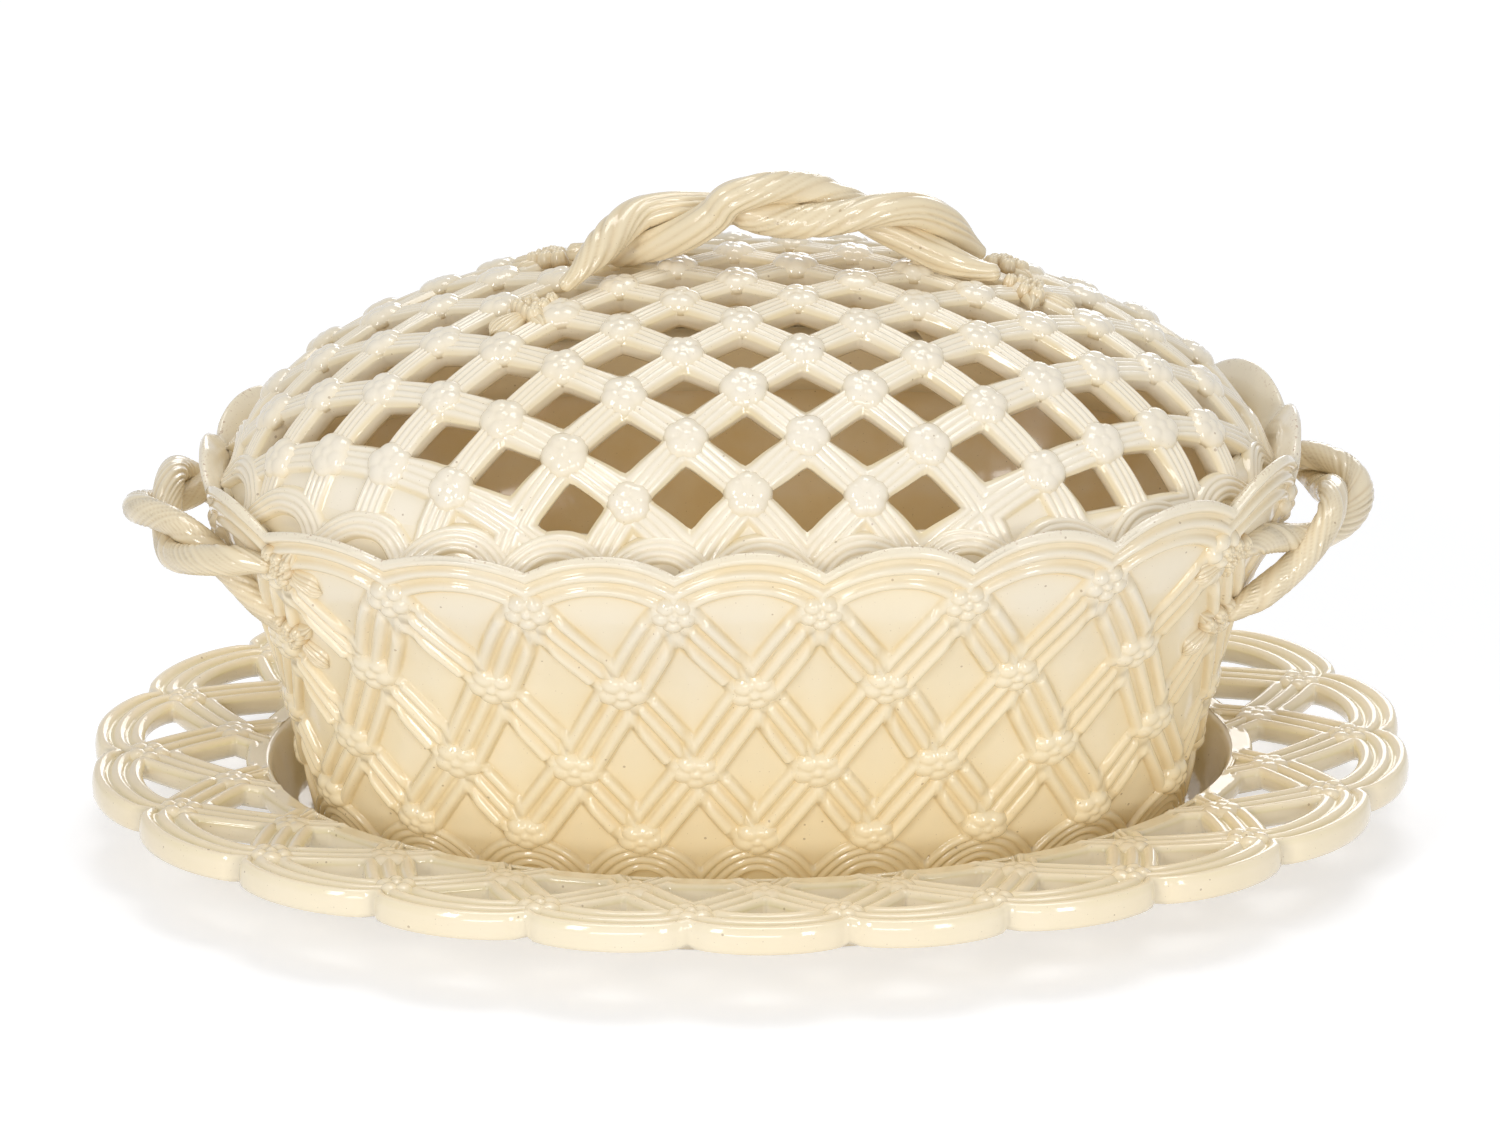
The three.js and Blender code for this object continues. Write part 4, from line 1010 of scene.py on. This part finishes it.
def cover():
    skin, florets = Skin(), Skin()
    boss = floret_template(*BOSS)
    columns, rows = (int(reach / half) + 2 for reach, half in zip(COVER_HALF, CELL))
    for row in range(-rows, rows + 1):
        for place in range(-columns, columns + 1):
            x, y = CELL[0] * (place + LATTICE_SHIFT[0]), CELL[1] * (row + LATTICE_SHIFT[1])
            radius = cover_radius(x, y)
            if (place + row) % 2:
                if radius < BOSS_REACH:
                    put_floret(florets, boss, lattice, x, y, rng.uniform(0, 6), rng.uniform(0.94, 1.08))
                continue
            if radius > CELL_REACH:
                continue
            edges = [line(a, b, FINE) for a, b in around(diamond(x, y, CELL))]
            if radius > 1 + PIERCED_LEAN * x / COVER_HALF[0]:
                sides = [(edge, BLIND_BAND, COVER_BAND) for edge in edges]
                offset_cell(skin, sides, lattice, (1, 1), panel=BLIND_PANEL)
            else:
                cell(skin, edges, [COVER_BAND] * 4, hole_edges(x, y), lattice, depth=COVER_WALL)
    skin.build("cover_lattice", "cover", "cover", cover_glaze, ["cover_dome"])
    florets.build("cover_florets", "cover", "cover", cover_glaze)

    skin = Skin()
    for k in range(ARCHES):
        border_arch(skin, k)
    k = np.arange(ARCHES * ARCH_STEPS) / ARCH_STEPS
    # The ring and the skirt take half the grooves' colour: painted shade under the arches and inside the rim.
    skin.rings([border(k, rise, lift) for rise, lift in BORDER_ROWS], groove=0.5)
    skin.build("cover_border", "cover", "cover", cover_glaze)


# Rope handles

def even_steps(curve, count):
    run = np.concatenate([[0], np.cumsum(np.linalg.norm(np.diff(curve, axis=0), axis=1))])
    want = np.linspace(0, run[-1], count + 1)
    return np.stack([np.interp(want, run, curve[:, i]) for i in range(3)], 1)


def spline(points, samples=400):
    """A Catmull-Rom curve through the points, in equal steps of length."""
    points = np.array(points, float)
    points = np.vstack([2 * points[0] - points[1], points, 2 * points[-1] - points[-2]])
    t = column(np.linspace(0, 1, samples, endpoint=False))
    curve = []
    for i in range(1, len(points) - 2):
        p0, p1, p2, p3 = points[i - 1:i + 3]
        curve.append(0.5 * (2 * p1 + (p2 - p0) * t + (2 * p0 - 5 * p1 + 4 * p2 - p3) * t ** 2
                            + (3 * p1 - p0 - 3 * p2 + p3) * t ** 3))
    return even_steps(np.vstack(curve + [points[-2:-1]]), samples)


def wind_pair(middle, sideways, start_angle, turns, blend, spread, ends):
    """Centre lines of two strands wound round a line, each leaving it for its own first and last point."""
    share = column(np.linspace(0, 1, len(middle)))
    along = unit(np.gradient(middle, axis=0))
    side = unit(sideways - along * column(along @ sideways))
    up = np.cross(side, along)
    strands = []
    for which, (first, last) in enumerate(ends):
        angle = start_angle + 2 * math.pi * turns * share + math.pi * which
        centre = middle + (side * np.cos(angle) + up * np.sin(angle)) * spread
        strands.append(centre + (first - centre[0]) * smoothstep(1 - share / blend)
                       + (last - centre[-1]) * smoothstep(1 - (1 - share) / blend))
    return strands


STRAND_STEP, STRAND_SIDES = 0.7, 84
FLUTE_DEPTH = 0.16  # share of the radius
TWIST_DRIFT, TWIST_RUN = 0.12, 9  # turns, and millimetres for a radian of the drift
FLUTE_DRIFTS = (0.22, 0.14)  # radians, twice and three times round
DEPTH_MEAN, DEPTH_DRIFT, DEPTH_RUN = 0.75, 0.35, 11
SWELL_DRIFT, SWELL_RUN = 0.04, 6
TIP_LENGTH, TIP_BLUNT = 1.5, 0.4


def fluted_strand(skin, centre, radius, flutes, pitch, taper=10.0, thin=0.62):
    """A strand of clay with uneven ridges that spiral along it, thinner towards its ends."""
    length = np.linalg.norm(np.diff(centre, axis=0), axis=1).sum()
    centre = even_steps(centre, int(length / STRAND_STEP))
    along = unit(np.gradient(centre, axis=0))
    side = np.cross(along[0], [0.0, 0.0, 1.0])
    rings, grooves = [], []
    phi = 2 * math.pi * np.arange(STRAND_SIDES) / STRAND_SIDES
    phase = rng.uniform(0, 6, 4)
    for i, (point, ahead) in enumerate(zip(centre, along)):
        side = unit(side - ahead * side.dot(ahead))
        run = i / (len(centre) - 1) * length
        turn = phi + 2 * math.pi * (run / pitch + TWIST_DRIFT * math.sin(run / TWIST_RUN + phase[0]))
        turn = turn + sum(drift * np.sin(times * turn + phase[times - 1])
                          for times, drift in enumerate(FLUTE_DRIFTS, 2))
        ridge = np.abs(np.cos(flutes * turn / 2)) ** 0.8
        depth = FLUTE_DEPTH * (DEPTH_MEAN + DEPTH_DRIFT * np.sin(2 * turn + run / DEPTH_RUN + phase[3]))
        end = min(run, length - run)
        swell = thin + (1 - thin) * smoothstep(end / taper)
        swell += SWELL_DRIFT * math.sin(run / SWELL_RUN + phase[3])
        tip = rounded(end / TIP_LENGTH) * (1 - TIP_BLUNT) + TIP_BLUNT
        reach = radius * swell * tip * (1 - depth * (1 - ridge))
        rings.append(point + np.outer(reach * np.cos(phi), side)
                     + np.outer(reach * np.sin(phi), np.cross(ahead, side)))
        grooves.append(0.6 * (1 - ridge) ** 1.5)
    skin.rings(rings, groove=np.array(grooves), cap_first=True, cap_last=True)


def leaf(skin, surface, u, v, heading, length, width, lift, ribs, fan):
    """A ribbed leaf pressed on a surface, its foot at (u, v). A fan's leaf is widest near its tip."""
    metric = scale_at(surface, u, v)
    s, t = np.linspace(0, 1, 17)[:, None], np.linspace(-1, 1, 8 * ribs + 1)[None]
    plain = np.sin(math.pi * (0.1 + 0.86 * s) ** 0.8) ** 0.6
    spread = (0.22 + 0.9 * s) * np.sqrt(np.clip(1 - s ** 6, 0, 1))
    ridge = np.abs(np.cos(math.pi * ribs * t / 2)) ** 0.8
    x = length * s * (1 - 0.16 * t ** 2) * (1 - 0.05 * fan * (1 - ridge) * s)
    y = width / 2 * (plain * (1 - fan) + spread * fan) * t
    hump = np.clip(1 - np.abs(t) ** 2.6, 0, 1) ** 0.7 * np.clip(1 - np.abs(2 * s - 1) ** 3.4, 0, 1) ** 0.7
    z = (0.5 + 0.5 * ridge + lift) * hump - 0.4 * (1 - hump)
    c, n = math.cos(heading), math.sin(heading)
    points = surface(u + (x * c - y * n) / metric[0], v + (x * n + y * c) / metric[1], z)
    skin.rings(points, closed=False, groove=(1 - ridge) * 0.7)


# A terminal, in millimetres and radians from its middle and its heading. Leaves: distance, turn,
# length, width, ribs and fan. Berries: distance and turn, the first of them a flower.
LEAVES = ((1.0, 0.0, 8.6, 9.4, 7, 1.0), (0.8, 1.45, 6.4, 4.2, 3, 0.0), (0.8, -1.45, 6.4, 4.2, 3, 0.0))
BERRIES = ((0.0, 0.0), (2.6, 1.3), (2.8, -1.2), (2.7, 2.5), (2.6, -2.4), (4.6, 3.1))
BERRY, FLOWER = (1.7, 2.1, 0.3), (2.7, 2.3, 1.0)  # radius, height and crispness
BERRY_LIFT = 0.9


def sprig(skin, surface, u, v, heading, size=1.0, lift=1.0):
    """A terminal: a fan of a leaf, two small leaves, and a cluster of berries where they meet."""
    metric = scale_at(surface, u, v)

    def away(distance, turn):
        angle, reach = heading + turn, distance * size
        return u + reach * math.cos(angle) / metric[0], v + reach * math.sin(angle) / metric[1]

    for distance, turn, length, width, ribs, fan in LEAVES:
        leaf(skin, surface, *away(distance, turn), heading + turn, length * size, width * size, lift,
             ribs, fan)
    flower, berry = (floret_template(radius * size, height * size, crispness)
                     for radius, height, crispness in (FLOWER, BERRY))
    for i, (distance, turn) in enumerate(BERRIES):
        place = away(distance, turn + rng.normal(0, 0.12))
        put_floret(skin, berry if i else flower, surface, *place, rng.uniform(0, 6), rng.uniform(0.85, 1.15),
                   BERRY_LIFT)


BEND_STRAND = 3.3
BEND_SPREAD = 3.1
BEND_FLUTES = 13
BEND_PITCHES = (30, -34)  # of the flutes of its two strands
BEND_TURNS, BEND_BLEND = 1.5, 0.3
# Places of the front half of a bend: share of the way round, drop from the rim, distance outwards
BEND_PLACES = ((0.4413, 16.9, 6.18), (0.4645, 13.5, 8.76), (0.5, 11.3, 13.9))
BEND_UPPER_END, BEND_LOWER_END = (0.431, 9.5), (0.4435, 27.5)
BEND_TERMINALS = {"upper": (0.425, 9.4, -0.5), "lower": (0.439, 28.4, -0.9)}  # and the heading's turn
BEND_END_LIFT = 1.5  # of a strand's thin end, over the panels


def basket_handle(side):
    left = side == "left"

    def scallop(share, back):
        own = 0.5 - share if left else share
        return (1 - own if back else own) * BASKET_SCALLOPS

    def bend(share, drop, stand_off, back):
        point, _, _, normal = stand_on(plain_shell, scallop(share, back), RIM_Z - drop)
        return point + unit(normal * (1, 1, 0)) * (stand_off + RELIEF_SINK)

    def end(place, back):
        point, _, _, normal = stand_on(plain_shell, scallop(place[0], back), RIM_Z - place[1])
        return point + normal * BEND_END_LIFT

    middle = spline([bend(*place, False) for place in BEND_PLACES]
                    + [bend(*place, True) for place in BEND_PLACES[1::-1]])
    ends = [(end(BEND_LOWER_END, False), end(BEND_UPPER_END, True)),
            (end(BEND_UPPER_END, False), end(BEND_LOWER_END, True))]
    strands = wind_pair(middle, np.array([0.0, 0.0, 1.0]), math.pi, BEND_TURNS, BEND_BLEND, BEND_SPREAD, ends)
    for letter, centre, pitch in zip("ab", strands, BEND_PITCHES):
        skin = Skin()
        fluted_strand(skin, centre, BEND_STRAND, BEND_FLUTES, pitch)
        skin.build(f"{side}_rope_{letter}", "basket", "rope", rope_glaze, [f"{side}_handle_strand_{letter}"])
    for depth in ("front", "back"):
        back = depth == "back"
        for level, (share, drop, turn) in BEND_TERMINALS.items():
            skin = Skin()
            heading = turn if left != back else math.pi - turn
            sprig(skin, plain_shell, scallop(share, back), RIM_Z - drop, heading)
            skin.build(f"{side}_leaves_{depth}_{level}", "basket", "sprig", rope_glaze,
                       [f"{side}_sprig_{depth}_{level}"])


ARCH_STRAND = 3.8
ARCH_SPREAD = 3.6
ARCH_FLUTES, ARCH_PITCH = 9, 62
ARCH_TURNS, ARCH_BLEND = 1.5, 0.2
ARCH_TAPER, ARCH_THIN = 15.0, 0.5
ARCH_END_LIFT = 2.9
ARCH_LEFT, ARCH_RIGHT, ARCH_SIDE, ARCH_TOP_X = -39.5, 50.5, 5.0, 0.5
ARCH_HEIGHT = 15.1  # over the top of the dome
ARCH_ROOT = 6.5  # of the handle's ends over the dome
ARCH_SHOULDERS, ARCH_SHOULDER = (0.34, 0.74), 0.6  # shares of its length, and of its height there
# Where each terminal and its strand's end lie
COVER_ENDS = {"left_front": ((-47.2, -13.4), (-40.4, -9.6)), "left_back": ((-43.4, 19), (-38.6, 12.9)),
              "right_front": ((60.4, 0.4), (53.2, 1.6)), "right_back": ((56.4, 16.6), (50.4, 11.9))}
COVER_SPRIG = (1.1, 0.9)  # size and lift


def cover_handle():
    crown = float(dome_height(0.0, 0.0)) + ARCH_HEIGHT
    foot = lambda x: float(dome_height(x, ARCH_SIDE)) + ARCH_ROOT

    def shoulder(share):
        x = ARCH_LEFT + (ARCH_RIGHT - ARCH_LEFT) * share
        return x, ARCH_SIDE / 2, foot(x) + (crown - foot(x)) * ARCH_SHOULDER

    rise, fall = (shoulder(share) for share in ARCH_SHOULDERS)
    middle = spline([(ARCH_LEFT, ARCH_SIDE, foot(ARCH_LEFT)), rise, (ARCH_TOP_X, 0, crown), fall,
                     (ARCH_RIGHT, ARCH_SIDE, foot(ARCH_RIGHT))])
    end = {name: dome(*place[1], ARCH_END_LIFT) for name, place in COVER_ENDS.items()}
    ends = [(end["left_front"], end["right_back"]), (end["left_back"], end["right_front"])]
    strands = wind_pair(middle, np.array([0.0, -1.0, 0.0]), 0, ARCH_TURNS, ARCH_BLEND, ARCH_SPREAD, ends)
    for letter, centre in zip("ab", strands):
        skin = Skin()
        fluted_strand(skin, centre, ARCH_STRAND, ARCH_FLUTES, ARCH_PITCH, ARCH_TAPER, ARCH_THIN)
        skin.build(f"cover_rope_{letter}", "cover", "rope", rope_glaze, [f"cover_handle_strand_{letter}"])
    for name, (place, strand_end) in COVER_ENDS.items():
        skin = Skin()
        heading = math.atan2(place[1] - strand_end[1], place[0] - strand_end[0])
        sprig(skin, dome, *place, heading, *COVER_SPRIG)
        skin.build(f"cover_leaves_{name}", "cover", "sprig", rope_glaze, [f"cover_sprig_{name}"])


basket()
stand()
cover()
basket_handle("left")
basket_handle("right")
cover_handle()


# Camera: the photograph's, at the distance and height found from the ovals' outlines

IMAGE = (1500, 1125)
SENSOR = 36.0
FOCAL_PIXELS = 8267
CAMERA_REACH = 1668.9
CAMERA_HEIGHT = 731.0
CAMERA_YAW = 0.04
CAMERA_PITCH = math.radians(21.83)
CLIP_END = 20  # metres


def turn_to(thing, ahead):
    thing.rotation_euler = ahead.to_track_quat("-Z", "Y").to_euler()


def photo_camera():
    camera = put("camera", bpy.data.cameras.new("camera"))
    camera.data.sensor_width = SENSOR
    camera.data.lens = FOCAL_PIXELS * SENSOR / IMAGE[0]
    camera.data.clip_end = CLIP_END
    camera.location = (-CAMERA_REACH * math.sin(CAMERA_YAW) * MM,
                       -CAMERA_REACH * math.cos(CAMERA_YAW) * MM, CAMERA_HEIGHT * MM)
    turn_to(camera, Vector((math.cos(CAMERA_PITCH) * math.sin(CAMERA_YAW),
                            math.cos(CAMERA_PITCH) * math.cos(CAMERA_YAW), -math.sin(CAMERA_PITCH))))
    bpy.context.scene.camera = camera


# Light, in metres: name, place, size and power of each lamp
LAMPS = (("key_lamp", (-0.9, -1.35, 0.82), (0.3, 0.7), 6.9),
         ("fill_lamp", (0.8, -1.7, 0.42), (0.3, 0.7), 6.3),
         ("low_lamp", (-0.25, -1.8, 0.2), (1.0, 0.25), 4.4),
         ("top_lamp", (0.1, 0.2, 1.7), (0.9, 0.6), 7.4),
         ("back_lamp", (0.4, 1.7, 0.6), (0.7, 0.7), 4.0))
LAMP_AIM = Vector((0, 0, 0.06))
INSIDE_PLACE, INSIDE_SIZE, INSIDE_POWER, INSIDE_COLOUR = (0.0, 0.0, 0.07), 0.02, 0.015, (1.0, 0.9, 0.74)
SOFT_LIGHT = 0.49  # the world's, on the object
FLOOR_SEEN = (0.74, 0.75, 0.77, 1)  # what the camera sees of the floor's shading, and the white under it
FLOOR_WHITE = (0.46, 0.46, 0.47, 1)
FLOOR_LIT = (0.95, 0.95, 0.95, 1)
FLOOR_REACH = 6.0


def lamps():
    for name, place, size, power in LAMPS:
        lamp = bpy.data.lights.new(name, "AREA")
        lamp.shape = "RECTANGLE"
        lamp.size, lamp.size_y = size
        lamp.energy = power
        holder = put(name, lamp)
        holder.location = place
        turn_to(holder, LAMP_AIM - Vector(place))
    inside = bpy.data.lights.new("inside_lamp", "POINT")
    inside.energy = INSIDE_POWER
    inside.color = INSIDE_COLOUR
    inside.shadow_soft_size = INSIDE_SIZE
    lamp = put("inside_lamp", inside)
    lamp.location = INSIDE_PLACE
    lamp.visible_camera = False
    lamp.visible_glossy = False
    lamp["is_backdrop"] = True


def white_world():
    world = bpy.data.worlds.new("studio")
    bpy.context.scene.world = world
    n = Nodes(world)
    white, soft = (n.add("ShaderNodeBackground", {"Strength": strength}) for strength in (1.0, SOFT_LIGHT))
    n.finish("ShaderNodeOutputWorld", white, soft)
    bpy.context.scene.view_settings.view_transform = "Standard"


def floor():
    material = bpy.data.materials.new("floor")
    n = Nodes(material)
    plain, shaded = (n.add("ShaderNodeBsdfDiffuse", {"Color": colour}) for colour in (FLOOR_LIT, FLOOR_SEEN))
    white = n.add("ShaderNodeEmission", {"Color": FLOOR_WHITE, "Strength": 1.0})
    both = n.add("ShaderNodeAddShader", {0: shaded.outputs[0], 1: white.outputs[0]})
    n.finish("ShaderNodeOutputMaterial", both, plain)
    mesh = bpy.data.meshes.new("floor")
    corners = [(x * FLOOR_REACH, y * FLOOR_REACH, 0) for x, y in ((-1, -1), (1, -1), (1, 1), (-1, 1))]
    mesh.from_pydata(corners, [], [[0, 1, 2, 3]])
    mesh.materials.append(material)
    ground = put("floor", mesh)
    ground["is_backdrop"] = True


photo_camera()
lamps()
white_world()
floor()

visual_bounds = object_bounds()
{"cad": [list(corner) for corner in cad_bounds], "visual": [list(corner) for corner in visual_bounds]}
